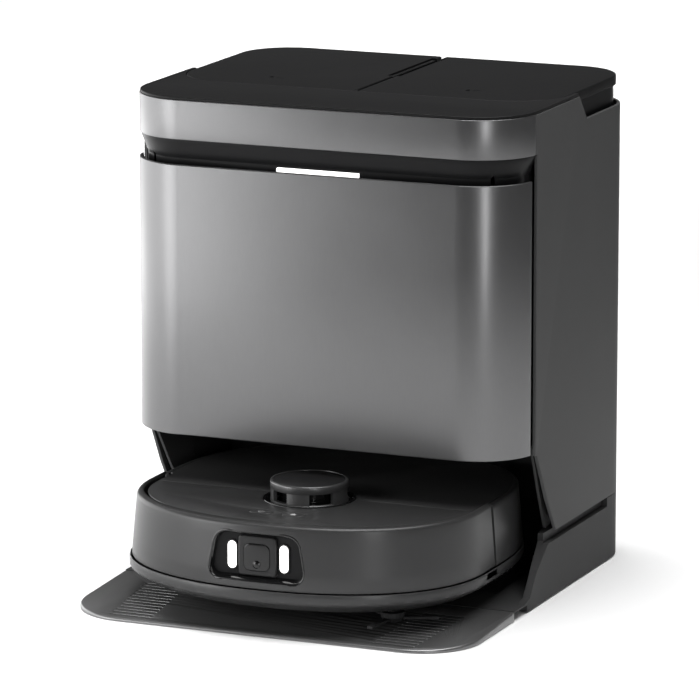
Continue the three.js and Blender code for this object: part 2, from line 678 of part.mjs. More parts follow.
function deckPlate() {
  const besideBumper = box(-158, -BEYOND, 0, 158, 500, 200);
  const behindBumper = box(-BEYOND, BUMPER_END_Y + 5, 0, BEYOND, 500, 200);
  return robotBlock(DECK_HALF_WIDTH, DECK_FRONT_Y, DECK_REAR_Y, DECK_BOTTOM_Z, DECK_TOP_Z)
    .intersect(besideBumper.add(behindBumper));
}

function frontDeck() {
  return without(deckPlate(), [
    box(-BEYOND, DECK_SEAM_Y - CLEARANCE, 0, BEYOND, 500, 200),
    upright(TURRET_RING_RADIUS + 0.4, 0, TURRET_Y, 0, 200, 30),
    buttonBlock(POWER_BUTTON_X, 0.35),
    buttonBlock(HOME_BUTTON_X, 0.35),
  ]);
}

function topCover() {
  return without(deckPlate(), [
    box(-BEYOND, -500, 0, BEYOND, DECK_SEAM_Y + CLEARANCE, 200),
    upright(TURRET_RING_RADIUS + 0.4, 0, TURRET_Y, 0, 200, 30),
  ]);
}

// A button in the front deck at X, or with some growth the hole it works in.
function buttonBlock(x, grow) {
  const half = BUTTON_HALF_LENGTH + grow;
  const outline = roundedRectangle(x - half, BUTTON_FRONT_Y - grow, x + half, BUTTON_REAR_Y + grow, [5, 5, 5, 5]);
  return prism(outline, DECK_BOTTOM_Z - 1, DECK_TOP_Z + 0.3, 4);
}

// ---- Robot turret ----

function turretBase() {
  const ring = turned([[0, 80], [34, 80], [34, 94], [TURRET_RING_RADIUS, 97.5], [TURRET_RING_RADIUS, DECK_TOP_Z],
    [40, DECK_TOP_Z + 0.4], [37.5, DECK_TOP_Z - 0.4], [0, DECK_TOP_Z - 0.4]], 0, TURRET_Y, 30);
  const rotorSeat = upright(29, 0, TURRET_Y, 90, 120, 32);
  return ring.subtract(rotorSeat);
}

function turretCap() {
  const cap = turned([[0, TURRET_CAP_Z], [TURRET_CAP_RADIUS, TURRET_CAP_Z], [TURRET_CAP_RADIUS, 117.5],
    [TURRET_CAP_RADIUS - 2, TURRET_TOP_Z], [0, TURRET_TOP_Z]], 0, TURRET_Y, 30);
  const collar = without(upright(TURRET_CAP_RADIUS - 0.5, 0, TURRET_Y, DECK_TOP_Z - 0.1,
    TURRET_CAP_Z + 0.5, 30), [
    upright(TURRET_CAP_RADIUS - 3, 0, TURRET_Y, 90, TURRET_CAP_Z, 30),
    windowGap(-40, 25),
    windowGap(65, 60),
    windowGap(140, 25),
    windowGap(200, 60),
  ]);
  return cap.add(collar);
}

// A gap in the turret's wall, from its first angle in degrees through its width.
function windowGap(start, width) {
  const shape = new THREE.Shape();
  const from = THREE.MathUtils.degToRad(start);
  const to = THREE.MathUtils.degToRad(start + width);
  shape.moveTo(0, TURRET_Y);
  shape.lineTo(60 * Math.cos(from), TURRET_Y + 60 * Math.sin(from));
  shape.lineTo(60 * Math.cos(to), TURRET_Y + 60 * Math.sin(to));
  return prism(shape, DECK_TOP_Z + 1.2, TURRET_CAP_Z - 0.8);
}

function lidarRotor() {
  const drum = upright(ROTOR_RADIUS, 0, TURRET_Y, 91, TURRET_CAP_Z - 1.5, 28);
  return drum.subtract(box(-9, TURRET_Y - 40, 103, 9, TURRET_Y - 18, 109));
}

// ---- Bumper ----

function bumper() {
  const outer = loft([
    { outline: robotOutline(BUMPER_HALF_WIDTH, BUMPER_FRONT_Y, ROBOT_REAR_Y), z: BUMPER_BOTTOM_Z },
    { outline: robotOutline(BUMPER_HALF_WIDTH - BUMPER_DRAFT, BUMPER_FRONT_Y + BUMPER_DRAFT,
      ROBOT_REAR_Y - BUMPER_DRAFT), z: BUMPER_TOP_Z - 1 },
    { outline: robotOutline(BUMPER_HALF_WIDTH - BUMPER_DRAFT - 1.5, BUMPER_FRONT_Y + BUMPER_DRAFT + 1.5,
      ROBOT_REAR_Y - BUMPER_DRAFT), z: BUMPER_TOP_Z },
  ]);
  const cavity = loft([
    { outline: robotOutline(BUMPER_HALF_WIDTH - WALL, BUMPER_FRONT_Y + WALL, ROBOT_REAR_Y), z: 30 },
    { outline: robotOutline(BUMPER_HALF_WIDTH - BUMPER_DRAFT - WALL, BUMPER_FRONT_Y + BUMPER_DRAFT + WALL,
      ROBOT_REAR_Y), z: 100.6 },
  ]);
  const mouth = robotBlock(161.6, -110.8, ROBOT_REAR_Y, 60, 200);
  const rear = box(-BEYOND, BUMPER_END_Y, 0, BEYOND, 500, 200);
  return without(outer, [cavity, mouth, rear, cameraOpening(0)]);
}

// The camera opening's rounded trapezium drawn in by an inset, as a cutter through the bumper's front.
function cameraOpening(inset) {
  const shape = new THREE.Shape();
  const bottom = WINDOW_BOTTOM_HALF - inset;
  const top = WINDOW_TOP_HALF - inset;
  const corners = [[-bottom, WINDOW_BOTTOM_Z + inset], [bottom, WINDOW_BOTTOM_Z + inset],
    [top, WINDOW_TOP_Z - inset], [-top, WINDOW_TOP_Z - inset]].map(([x, z]) => new THREE.Vector2(x, z));
  const alongEdge = (from, to) => to.clone().sub(from).setLength(WINDOW_RADIUS - inset).add(from);
  corners.forEach((corner, i) => {
    const before = alongEdge(corner, corners[(i + 3) % 4]);
    const after = alongEdge(corner, corners[(i + 1) % 4]);
    if (i === 0) {
      shape.moveTo(before.x, before.y);
    } else {
      shape.lineTo(before.x, before.y);
    }
    shape.quadraticCurveTo(corner.x, corner.y, after.x, after.y);
  });
  shape.closePath();
  return frontPrism(shape, -150, -118);
}

function cameraWindow() {
  const cup = cameraOpening(0.5).intersect(box(-60, -127.5, 0, 60, -118.5, 200));
  const hollow = cameraOpening(WALL).intersect(box(-60, -140, 0, 60, -121, 200));
  return cup.subtract(hollow);
}

function cameraPod() {
  const panel = frontPrism(roundedRectangle(-17.5, 56, 17.5, 90, [3, 3, 3, 3]), -125.5, -121.3);
  const face = frontPrism(roundedRectangle(-12.8, 59.6, 12.8, 84.6, [6, 6, 6, 6]), -126.3, -125);
  const lens = frontPrism(circleShape(0, CAMERA_LENS_Z, 3.2), -127.2, -126, 8);
  return joined([panel, face, lens]);
}

function fillLight(side) {
  const half = FILL_LIGHT_HALF_WIDTH;
  const x = side * FILL_LIGHT_X;
  return frontPrism(roundedRectangle(x - half, 59.4, x + half, 84.8, [half, half, half, half]), -123.4, -121.3);
}

// ---- Robot drive and cleaning ----

function wheelArm(side) {
  const x = side * WHEEL_X;
  const inner = x - side * WHEEL_ARM_X;
  const [x0, x1] = [inner, inner + side * 2.4].sort((a, b) => a - b);
  const [stub0, stub1] = [inner, x + side * 9].sort((a, b) => a - b);
  return joined([
    box(x0, ROBOT_MID_Y, WHEEL_Z - 9, x1, WHEEL_PIVOT_Y, WHEEL_Z + 9),
    axle(9, x0, x1, ROBOT_MID_Y, WHEEL_Z),
    axle(9, x - WHEEL_ARM_X, x + WHEEL_ARM_X, WHEEL_PIVOT_Y, WHEEL_Z),
    axle(3.5, stub0, stub1, ROBOT_MID_Y, WHEEL_Z, 16),
  ]);
}

function driveWheel(side) {
  const x = side * WHEEL_X;
  const rim = axle(WHEEL_RADIUS, x - WHEEL_WIDTH / 2, x + WHEEL_WIDTH / 2, ROBOT_MID_Y, WHEEL_Z, 24);
  const bore = axle(3.8, x - 20, x + 20, ROBOT_MID_Y, WHEEL_Z, 16);
  const treads = [];
  for (let i = 0; i < TREAD_COUNT; i += 1) {
    const groove = new THREE.BoxGeometry(WHEEL_WIDTH + 2, 3, 4);
    groove.translate(0, 0, WHEEL_RADIUS);
    groove.rotateX(Math.PI * 2 * i / TREAD_COUNT);
    groove.translate(x, ROBOT_MID_Y, WHEEL_Z);
    treads.push(solidOf(groove));
  }
  return without(rim, [bore, ...treads]);
}

function casterFork() {
  const wheelY = CASTER_Y + CASTER_TRAIL;
  const disc = upright(19, 0, CASTER_Y, 32, 36, 28);
  const stem = upright(5, 0, CASTER_Y, 35, 48, 16);
  const cheeks = [-13.5, 10.5].map((x) => joined([
    box(x, wheelY - 6, CASTER_WHEEL_Z, x + 3, wheelY + 6, 33),
    axle(6, x, x + 3, wheelY, CASTER_WHEEL_Z, 20),
  ]));
  const pin = axle(2, -12, 12, wheelY, CASTER_WHEEL_Z, 12);
  return joined([disc, stem, ...cheeks, pin]);
}

function casterWheel() {
  const wheelY = CASTER_Y + CASTER_TRAIL;
  const tread = axle(CASTER_RADIUS, -10, 10, wheelY, CASTER_WHEEL_Z, 24);
  return tread.subtract(axle(2.3, -20, 20, wheelY, CASTER_WHEEL_Z, 12));
}

function rollerBrush() {
  const core = axle(9, -BRUSH_HALF_LENGTH, BRUSH_HALF_LENGTH, BRUSH_Y, BRUSH_Z, 20);
  const vanes = [];
  for (let i = 0; i < BRUSH_VANES; i += 1) {
    const vane = new THREE.BoxGeometry(160, 2.4, 9);
    vane.translate(0, 0, 12);
    vane.rotateX(Math.PI * 2 * i / BRUSH_VANES);
    vane.translate(0, BRUSH_Y, BRUSH_Z);
    vanes.push(solidOf(vane));
  }
  return joined([core, ...vanes]);
}

function sideBrush() {
  const hub = turned([[0, 14], [9, 14], [11, 18], [11, 22.5], [4.2, 22.5], [4.2, 31], [0, 31]],
    SIDE_BRUSH_X, SIDE_BRUSH_Y, 20);
  const arms = [0, 1, 2].map((i) => {
    const arm = new THREE.BoxGeometry(34, 5, 2.4);
    arm.translate(25, 0, 16.5);
    arm.rotateZ(Math.PI * 2 * i / 3 + 0.4);
    arm.translate(SIDE_BRUSH_X, SIDE_BRUSH_Y, 0);
    return solidOf(arm);
  });
  return joined([hub, ...arms]);
}

function mopPlate(side) {
  return turned([[0, 17], [MOP_RADIUS - 2, 17], [MOP_RADIUS - 2, 20], [20, 22.4], [12, 22.4], [12, 36], [0, 36]],
    side * MOP_X, MOP_Y, 28);
}

function mopPad(side) {
  return turned([[0, 12.3], [MOP_RADIUS - 3, 12.3], [MOP_RADIUS, 14], [MOP_RADIUS, 15.6],
    [MOP_RADIUS - 1, 16.7], [0, 16.7]], side * MOP_X, MOP_Y, 28);
}

// ---- Robot contents ----

function dustBin() {
  return prism(roundedRectangle(-70, 64, 66, 150, [10, 10, 10, 10]), 46, 94, 5);
}

function battery() {
  return box(-76, -92, 54, 76, -56, 76);
}

function fanMotor() {
  return turned([[0, 50], [26, 50], [26, 70], [22, 88], [0, 88]], 106, 116, 28);
}

function robotBoard() {
  return box(-60, -48, 64, 60, 52, 66);
}

// ---- Finishes ----

function finish(color, roughness, metalness) {
  return new THREE.MeshStandardMaterial({ color, roughness, metalness });
}

const FINISHES = {
  graphiteMetal: () => finish(0x6e6e70, 0.35, 0.8),
  graphitePaint: () => finish(0x4a4a4c, 0.45, 0.3),
  darkPlastic: () => finish(0x2a2a2c, 0.6, 0),
  blackPlastic: () => finish(0x141416, 0.4, 0),
  glossBlack: () => finish(0x08080a, 0.12, 0),
  rubber: () => finish(0x1a1a1a, 0.85, 0),
  clearTank: () => finish(0x6f7a80, 0.15, 0),
  smokedTank: () => finish(0x3a3f42, 0.2, 0),
  paper: () => finish(0xd9d6cc, 0.9, 0),
  white: () => finish(0xf2f2f0, 0.4, 0),
  light: () => finish(0xffffff, 0.3, 0),
  board: () => finish(0x1d4a33, 0.5, 0),
  steel: () => finish(0xb5b7ba, 0.3, 0.9),
  fabric: () => finish(0x5a6f86, 0.95, 0),
};

// ---- Assembly ----

const station = new THREE.Group();
station.position.y = -(DOCK_REAR_Y + ROBOT_SKIRT_FRONT_Y + ROBOT_PARKED_Y) / 2;

function place(name, solid, finishName) {
  const mesh = new THREE.Mesh(geometryOf(solid), FINISHES[finishName]());
  mesh.name = name;
  station.add(mesh);
}

// A piece of the robot, drawn about the robot's own axes and moved to where it is parked.
function park(name, solid, finishName, bodyZ = ROBOT_BODY_Z) {
  place(name, solid.translate([0, ROBOT_PARKED_Y, bodyZ]), finishName);
}

place("base_tray", baseTray(), "darkPlastic");
place("ramp_plate", rampPlate(), "graphitePaint");
place("washboard", washboard(), "blackPlastic");
footPlaces().forEach(([word, y]) => place(`${word}_foot_strip`, footStrip(y), "rubber"));
place("outer_shell", outerShell(), "graphitePaint");
place("rear_cover", rearCover(), "darkPlastic");
place("power_inlet", powerInlet(), "blackPlastic");
place("bay_liner", bayLiner(), "blackPlastic");
place("bag_bay", bagBay(), "blackPlastic");
place("recess_trim", recessTrim(), "glossBlack");
place("light_bar", lightBar(), "light");
place("top_deck", topDeck(), "darkPlastic");
place("tank_bay", tankBay(), "blackPlastic");
place("dust_bag", dustBag(), "paper");
place("bag_collar", bagCollar(), "white");
place("detergent_bottle", detergentBottle(), "white");
place("suction_motor", suctionMotor(), "darkPlastic");
place("water_pump", waterPump(), "blackPlastic");
place("dryer_fan", dryerFan(), "blackPlastic");
place("main_board", mainBoard(), "board");
place("evac_seal", evacSeal(), "rubber");
place("left_contact", chargingContact(-1), "steel");
place("right_contact", chargingContact(1), "steel");

place("front_door", frontDoor(), "graphiteMetal");
place("clean_tank", tank(-1), "clearTank");
place("clean_tank_lid", tankLid(-1), "darkPlastic");
place("dirty_tank", tank(1), "smokedTank");
place("dirty_tank_lid", tankLid(1), "darkPlastic");

park("robot_chassis", robotChassis(), "graphitePaint");
park("brush_guard", brushGuard(), "darkPlastic");
park("robot_rear_shell", robotRearShell(), "graphitePaint");
park("front_deck", frontDeck(), "graphitePaint");
park("top_cover", topCover(), "graphitePaint");
park("power_button", buttonBlock(POWER_BUTTON_X, 0), "graphitePaint");
park("home_button", buttonBlock(HOME_BUTTON_X, 0), "graphitePaint");
park("turret_base", turretBase(), "darkPlastic");
park("turret_cap", turretCap(), "graphiteMetal");
park("lidar_rotor", lidarRotor(), "glossBlack");
park("dust_bin", dustBin(), "smokedTank");
park("battery", battery(), "blackPlastic");
park("fan_motor", fanMotor(), "darkPlastic");
park("robot_board", robotBoard(), "board");
park("bumper", bumper(), "graphitePaint");
park("camera_window", cameraWindow(), "glossBlack");
park("camera_pod", cameraPod(), "blackPlastic");

for (const [word, side] of [["left", -1], ["right", 1]]) {
  park(`${word}_fill_light`, fillLight(side), "light");
  park(`${word}_wheel_arm`, wheelArm(side), "darkPlastic", 0);
  park(`${word}_drive_wheel`, driveWheel(side), "rubber", 0);
  park(`${word}_mop_plate`, mopPlate(side), "darkPlastic", 0);
  park(`${word}_mop_pad`, mopPad(side), "fabric", 0);
}

park("caster_fork", casterFork(), "blackPlastic", 0);
park("caster_wheel", casterWheel(), "rubber", 0);
park("roller_brush", rollerBrush(), "rubber", 0);
park("side_brush", sideBrush(), "darkPlastic", 0);

export default station;
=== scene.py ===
"""A robot vacuum in its emptying and washing station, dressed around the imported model."""

import math
import random

import bmesh
import bpy
from mathutils import Matrix, Vector


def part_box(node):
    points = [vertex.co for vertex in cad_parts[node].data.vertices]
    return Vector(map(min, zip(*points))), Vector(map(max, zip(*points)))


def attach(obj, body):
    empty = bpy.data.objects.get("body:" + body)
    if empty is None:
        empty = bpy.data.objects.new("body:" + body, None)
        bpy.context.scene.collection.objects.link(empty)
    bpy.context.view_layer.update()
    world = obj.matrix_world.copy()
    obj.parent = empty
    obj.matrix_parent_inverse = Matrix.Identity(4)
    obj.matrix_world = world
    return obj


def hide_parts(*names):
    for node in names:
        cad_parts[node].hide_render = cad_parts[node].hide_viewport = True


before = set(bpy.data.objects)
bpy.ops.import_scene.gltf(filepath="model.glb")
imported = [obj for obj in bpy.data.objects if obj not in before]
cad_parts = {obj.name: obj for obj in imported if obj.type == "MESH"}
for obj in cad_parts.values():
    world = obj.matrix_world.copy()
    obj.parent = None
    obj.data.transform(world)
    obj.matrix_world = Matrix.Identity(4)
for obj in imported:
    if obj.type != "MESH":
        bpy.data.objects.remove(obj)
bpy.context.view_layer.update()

# ---- Frame and driving dimensions. Shapes are drawn in station millimetres: Y is 0 at the door. ----

MM = 0.001
STATION_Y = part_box("outer_shell")[0].y

HALF_WIDTH = 197.5
REAR_Y = 322
FRONT_RADIUS = 59.5
REAR_RADIUS = 60
TOP_Z = 466.5
BAND_BOTTOM_Z = 426.7
BAND_TOP_Z = 463.6
SHELL_WALL = 3
SIDE_FRONT_Y = 55.8
SIDE_BOTTOM_Z = 63
NOTCH_Z = 440
NOTCH_TOP_Y = 164
NOTCH_END_Y = 183.8
REAR_WINDOW_HALF = 135
REAR_WINDOW_TOP_Z = 428
DOOR_BOTTOM_Z = 147.2
DOOR_TOP_Z = 403.2
DOOR_EDGE_Y = 47.2
DOOR_SHIFT_Y = -0.4
RECESS_DEPTH = 8
LIGHT_BOTTOM_Z = 401.7
LIGHT_HEIGHT = 4.2
LIGHT_HALF = 41
LID_FRONT_Y = 96.5
LID_REAR_Y = 318.5
LID_BOTTOM_Z = 457
LID_INNER_X = 2
LID_OUTER_X = 191.5
LID_FRONT_RADIUS = 55
LID_REAR_RADIUS = 50.5
GRIP_FRONT_Y = 195
GRIP_PITCH = 4
GRIP_RIBS = 27
RAMP_FRONT_Y = -135.5
RAMP_REAR_Y = 5.3
RAMP_RADIUS = 57.5
RAMP_LIP_Z = 3.2
RAMP_RISE = 6.4
RAMP_FLAT = 8
GROOVES = 13
GROOVE_FIRST_Y = -124.5
GROOVE_PITCH = 8.1
BAG_LEFT_X = -150
BAG_RIGHT_X = 32
BAG_FRONT_Y = 29
BAG_REAR_Y = 85
BAG_BOTTOM_Z = 186
BAG_TOP_Z = 366.5
BEYOND = 300

ROBOT_MID_Y = 4.7
ROBOT_SIDE_END_Y = 30
ROBOT_REAR_Y = 211
FRONT_POWER = 2.22
REAR_POWER = 2.8
BUMPER_HALF = 170.9
BUMPER_FRONT_Y = -132.3
BUMPER_DRAFT = 5
BUMPER_BOTTOM_Z = 44.2
BUMPER_TOP_Z = 103.4
BUMPER_END_Y = 30
SKIRT_HALF = 172.9
SKIRT_FRONT_Y = -134
DECK_TOP_Z = 101
DECK_BOTTOM_Z = 98
DECK_HALF = 158
DECK_REAR_HALF = 160.6
DECK_SEAM_Y = 4
WINDOW_CORNERS = ((-48, 51.7), (48, 51.7), (40, 94.3), (-40, 94.3))
WINDOW_MID_Z = 73
WINDOW_RADIUS = 13
LAMP_X = 25.7
LENS_Z = 65.5
POWER_KEY_X = -19
HOME_KEY_X = 13
KEY_Y = -72
KEY_HALF = (11, 6)
TURRET_Y = -5
TURRET_WELL = 43.4
HOOD_RADIUS = 36.5
LASER_RADIUS = 27
MOP_X = 74
MOP_Y = 138
MOP_RADIUS = 64
MOP_FACE_Z = 12.9
PARKED_Y = -6.5
BODY_RIDE_Z = 1.4
ROBOT_BODIES = ("robot", "bumper", "cover", "power_key", "home_key", "lidar")
ROBOT_GEAR = ("left_arm", "right_arm", "left_wheel", "right_wheel", "caster", "caster_roller", "roller",
              "edge_brush", "left_mop", "right_mop")


def station(x, y, z):
    """A point in station millimetres, in the row frame in metres."""
    return Vector((x * MM, y * MM + STATION_Y, z * MM))


# ---- Camera, light and floor ----

CAMERA_AZIMUTH = math.radians(22.946)
CAMERA_ELEVATION = math.radians(12.087)
CAMERA_PLACE = (1928.66, -4471.13, 1282.28)
CAMERA_LENS = 278.11


def aim(obj, towards):
    """Turns obj so that its -Z looks at a point in the row frame."""
    obj.rotation_euler = (towards - obj.location).to_track_quat("-Z", "Y").to_euler()


def make_camera():
    back = Vector((
        math.sin(CAMERA_AZIMUTH) * math.cos(CAMERA_ELEVATION),
        -math.cos(CAMERA_AZIMUTH) * math.cos(CAMERA_ELEVATION),
        math.sin(CAMERA_ELEVATION),
    ))
    right = Vector((math.cos(CAMERA_AZIMUTH), math.sin(CAMERA_AZIMUTH), 0))
    up = back.cross(right)
    data = bpy.data.cameras.new("camera")
    data.sensor_width = 36
    data.lens = CAMERA_LENS
    data.clip_end = 50
    camera = bpy.data.objects.new("camera", data)
    bpy.context.scene.collection.objects.link(camera)
    turn = Matrix((right, up, back)).transposed().to_4x4()
    camera.matrix_world = Matrix.Translation(station(*CAMERA_PLACE)) @ turn
    bpy.context.scene.camera = camera


def softbox(name, place, target, size, power, spread=180):
    """An area light in the row frame, in metres, watts and degrees."""
    data = bpy.data.lights.new(name, "AREA")
    data.shape = "RECTANGLE"
    data.size, data.size_y = size
    data.energy = power
    data.spread = math.radians(spread)
    light = bpy.data.objects.new(name, data)
    light.location = place
    bpy.context.scene.collection.objects.link(light)
    aim(light, Vector(target))
    return light


def make_studio():
    world = bpy.data.worlds.new("studio")
    world.use_nodes = True
    background = world.node_tree.nodes["Background"]
    background.inputs["Color"].default_value = (1, 1, 1, 1)
    background.inputs["Strength"].default_value = 0.10
    bpy.context.scene.world = world
    softbox("left_softbox", (-0.80, -0.98, 0.38), (-0.15, -0.1, 0.18), (0.5, 0.74), 6.6)
    softbox("side_softbox", (-1.25, -0.1, 0.45), (0.05, -0.1, 0.27), (2.0, 0.9), 17)
    softbox("overhead_softbox", (0.5, -0.1, 2.0), (0.5, -0.1, 0), (1.6, 1.6), 16, 90)
    softbox("right_strip", (1.38, -1.85, 0.6), (0.15, 0, 0.25), (0.1, 1.1), 8)
    backdrop = softbox("backdrop_light", (-1.2, 2.4, 2.4), (-1.2, 2.4, 0), (2.0, 4.6), 46, 60)
    backdrop.rotation_euler = (0, 0, 0)
    bpy.context.scene.view_settings.view_transform = "Standard"


def make_floor(material):
    mesh = bpy.data.meshes.new("floor")
    side = 12
    corners = [(-side, -side, 0), (side, -side, 0), (side, side, 0), (-side, side, 0)]
    mesh.from_pydata(corners, [], [(0, 1, 2, 3)])
    floor = bpy.data.objects.new("floor", mesh)
    floor.data.materials.append(material)
    bpy.context.scene.collection.objects.link(floor)


# ---- Materials ----

def node(tree, kind, **values):
    """A shader node with the given attributes and socket values."""
    made = tree.nodes.new(kind)
    for name, value in values.items():
        if name in made.inputs:
            made.inputs[name].default_value = value
        else:
            setattr(made, name, value)
    return made


def grained(name, colour, roughness, metallic=0.0, grain=900, bump=0.15, variation=0.08, wear=0.0,
            stretch=(1, 1, 1), coat=0.0, coat_roughness=0.1, roughness_swing=0.08, specular=0.5):
    """A moulded or painted surface: fine grain in bump, mottled colour and roughness, worn edges."""
    material = bpy.data.materials.new(name)
    material.use_nodes = True
    tree = material.node_tree
    shader = tree.nodes["Principled BSDF"]
    link = tree.links.new
    place = node(tree, "ShaderNodeTexCoord")
    mapping = node(tree, "ShaderNodeMapping", Scale=stretch)
    link(place.outputs["Object"], mapping.inputs["Vector"])
    fine = node(tree, "ShaderNodeTexNoise", Scale=grain, Detail=3, Roughness=0.6)
    broad = node(tree, "ShaderNodeTexNoise", Scale=9, Detail=4, Roughness=0.55)
    link(mapping.outputs["Vector"], fine.inputs["Vector"])
    link(place.outputs["Object"], broad.inputs["Vector"])

    tone = node(tree, "ShaderNodeMix", data_type="RGBA", blend_type="MULTIPLY")
    tone.inputs["Factor"].default_value = 1
    ramp = node(tree, "ShaderNodeMapRange")
    ramp.inputs["To Min"].default_value = 1 - variation
    ramp.inputs["To Max"].default_value = 1 + variation
    blend = node(tree, "ShaderNodeMath", operation="MULTIPLY_ADD")
    blend.inputs[1].default_value = 0.5
    halved = node(tree, "ShaderNodeMath", operation="MULTIPLY")
    halved.inputs[1].default_value = 0.5
    link(broad.outputs["Fac"], halved.inputs[0])
    link(fine.outputs["Fac"], blend.inputs[0])
    link(halved.outputs[0], blend.inputs[2])
    link(blend.outputs[0], ramp.inputs["Value"])
    base = node(tree, "ShaderNodeRGB")
    base.outputs[0].default_value = (*colour, 1)
    link(base.outputs[0], tone.inputs["A"])
    link(ramp.outputs["Result"], tone.inputs["B"])
    result = tone.outputs["Result"]
    if wear:
        geometry = node(tree, "ShaderNodeNewGeometry")
        edge = node(tree, "ShaderNodeMapRange")
        edge.inputs["From Min"].default_value = 0.52
        edge.inputs["From Max"].default_value = 0.62
        edge.inputs["To Max"].default_value = wear
        link(geometry.outputs["Pointiness"], edge.inputs["Value"])
        rubbed = node(tree, "ShaderNodeMix", data_type="RGBA")
        link(edge.outputs["Result"], rubbed.inputs["Factor"])
        link(result, rubbed.inputs["A"])
        rubbed.inputs["B"].default_value = (*[min(1, c * 2.2 + 0.02) for c in colour], 1)
        result = rubbed.outputs["Result"]
    link(result, shader.inputs["Base Color"])

    gloss = node(tree, "ShaderNodeMapRange")
    gloss.inputs["To Min"].default_value = max(0.02, roughness - roughness_swing)
    gloss.inputs["To Max"].default_value = min(1, roughness + roughness_swing)
    link(blend.outputs[0], gloss.inputs["Value"])
    link(gloss.outputs["Result"], shader.inputs["Roughness"])
    shader.inputs["Metallic"].default_value = metallic
    shader.inputs["Specular IOR Level"].default_value = specular
    shader.inputs["Coat Weight"].default_value = coat
    shader.inputs["Coat Roughness"].default_value = coat_roughness

    relief = node(tree, "ShaderNodeBump", Strength=bump, Distance=0.0004)
    link(fine.outputs["Fac"], relief.inputs["Height"])
    link(relief.outputs["Normal"], shader.inputs["Normal"])
    return material


def glowing(name, colour, strength):
    """A lit diffuser: even white with a faint cloudiness."""
    material = grained(name, colour, 0.35, grain=400, bump=0.05, variation=0.03)
    shader = material.node_tree.nodes["Principled BSDF"]
    shader.inputs["Emission Color"].default_value = (*colour, 1)
    shader.inputs["Emission Strength"].default_value = strength
    return material


def woven(name, colour, scale, bump, sheen=0.3):
    """Looped cloth or paper: coarse relief under a soft sheen."""
    material = grained(name, colour, 0.9, grain=scale, bump=bump, variation=0.25, roughness_swing=0.05)
    shader = material.node_tree.nodes["Principled BSDF"]
    shader.inputs["Sheen Weight"].default_value = sheen
    return material


def translucent(name, colour, roughness, amount):
    """A tinted tank wall that lets part of the light through."""
    material = grained(name, colour, roughness, grain=500, bump=0.03, variation=0.05, roughness_swing=0.04,
                       specular=0.12)
    shader = material.node_tree.nodes["Principled BSDF"]
    shader.inputs["Transmission Weight"].default_value = amount
    return material


MATERIALS = {
    # The shell's sides and rear: a darker, duller version of the band's brushed paint, painted shade on the
    # sides.
    "station_graphite": grained("station_graphite", (0.065, 0.065, 0.0655), 0.6, 0.1, 1500, 0.12, 0.10, 0.25,
                                specular=0.15),
    "band_graphite": grained("band_graphite", (0.155, 0.155, 0.157), 0.32, 0.85, 1400, 0.08, 0.10, 0.1,
                             stretch=(1, 1, 0.06)),
    "door_graphite": grained("door_graphite", (0.155, 0.155, 0.157), 0.32, 0.85, 1400, 0.08, 0.10, 0.1,
                             stretch=(1, 1, 0.06)),
    "base_graphite": grained("base_graphite", (0.035, 0.035, 0.0355), 0.6, 0.1, 1200, 0.2, 0.12, 0.3,
                             specular=0.15),
    "ramp_graphite": grained("ramp_graphite", (0.17, 0.17, 0.171), 0.3, 0.7, 1200, 0.12, 0.12, 0.3),
    "black_plastic": grained("black_plastic", (0.010, 0.010, 0.0105), 0.5, 0, 1100, 0.25, 0.2, 0.2,
                             specular=0.2),
    "recess_black": grained("recess_black", (0.010, 0.010, 0.0105), 0.3, 0, 1100, 0.1, 0.2, 0,
                            specular=0.1),
    "lid_black": grained("lid_black", (0.008, 0.008, 0.0083), 0.45, 0, 1300, 0.3, 0.2, 0.25, specular=0.12),
    "gloss_black": grained("gloss_black", (0.006, 0.006, 0.0063), 0.14, 0, 600, 0.02, 0.2, 0,
                           coat=0.3, coat_roughness=0.06, roughness_swing=0.04, specular=0.3),
    "pod_black": grained("pod_black", (0.022, 0.022, 0.0225), 0.34, 0.2, 1300, 0.1, 0.1, 0.2,
                         specular=0.25),
    "robot_graphite": grained("robot_graphite", (0.055, 0.055, 0.0555), 0.3, 0.4, 1500, 0.1, 0.1, 0.2,
                              specular=0.15),
    "turret_silver": grained("turret_silver", (0.09, 0.09, 0.091), 0.33, 0.6, 1500, 0.1, 0.1, 0.2),
    "rubber_black": grained("rubber_black", (0.016, 0.016, 0.016), 0.8, 0, 700, 0.4, 0.25, 0, specular=0.3),
    "clear_tank": translucent("clear_tank", (0.010, 0.0105, 0.011), 0.3, 0.1),
    "smoked_tank": translucent("smoked_tank", (0.007, 0.0073, 0.0078), 0.3, 0.08),
    "bag_paper": woven("bag_paper", (0.72, 0.7, 0.64), 900, 0.5),
    "white_plastic": grained("white_plastic", (0.8, 0.8, 0.79), 0.4, 0, 900, 0.1, 0.04),
    "light_white": glowing("light_white", (1, 0.99, 0.97), 2.2),
    "circuit_green": grained("circuit_green", (0.015, 0.09, 0.045), 0.35, 0, 500, 0.15, 0.2),
    "contact_steel": grained("contact_steel", (0.6, 0.6, 0.62), 0.28, 1, 1200, 0.1, 0.1, 0.1),
    "mop_fabric": woven("mop_fabric", (0.09, 0.13, 0.19), 700, 1.0, 0.6),
    "cell_pack": grained("cell_pack", (0.02, 0.04, 0.09), 0.3, 0, 300, 0.2, 0.15),
    "icon_grey": grained("icon_grey", (0.45, 0.45, 0.45), 0.5, 0, 800, 0.05, 0.05),
}
floor_material = grained("studio_floor", (0.93, 0.93, 0.93), 0.7, 0, 60, 0.02, 0.01, specular=0.1)

# ---- Mesh helpers ----


def new_object(name, mesh):
    made = bpy.data.objects.new(name, mesh)
    bpy.context.scene.collection.objects.link(made)
    return made


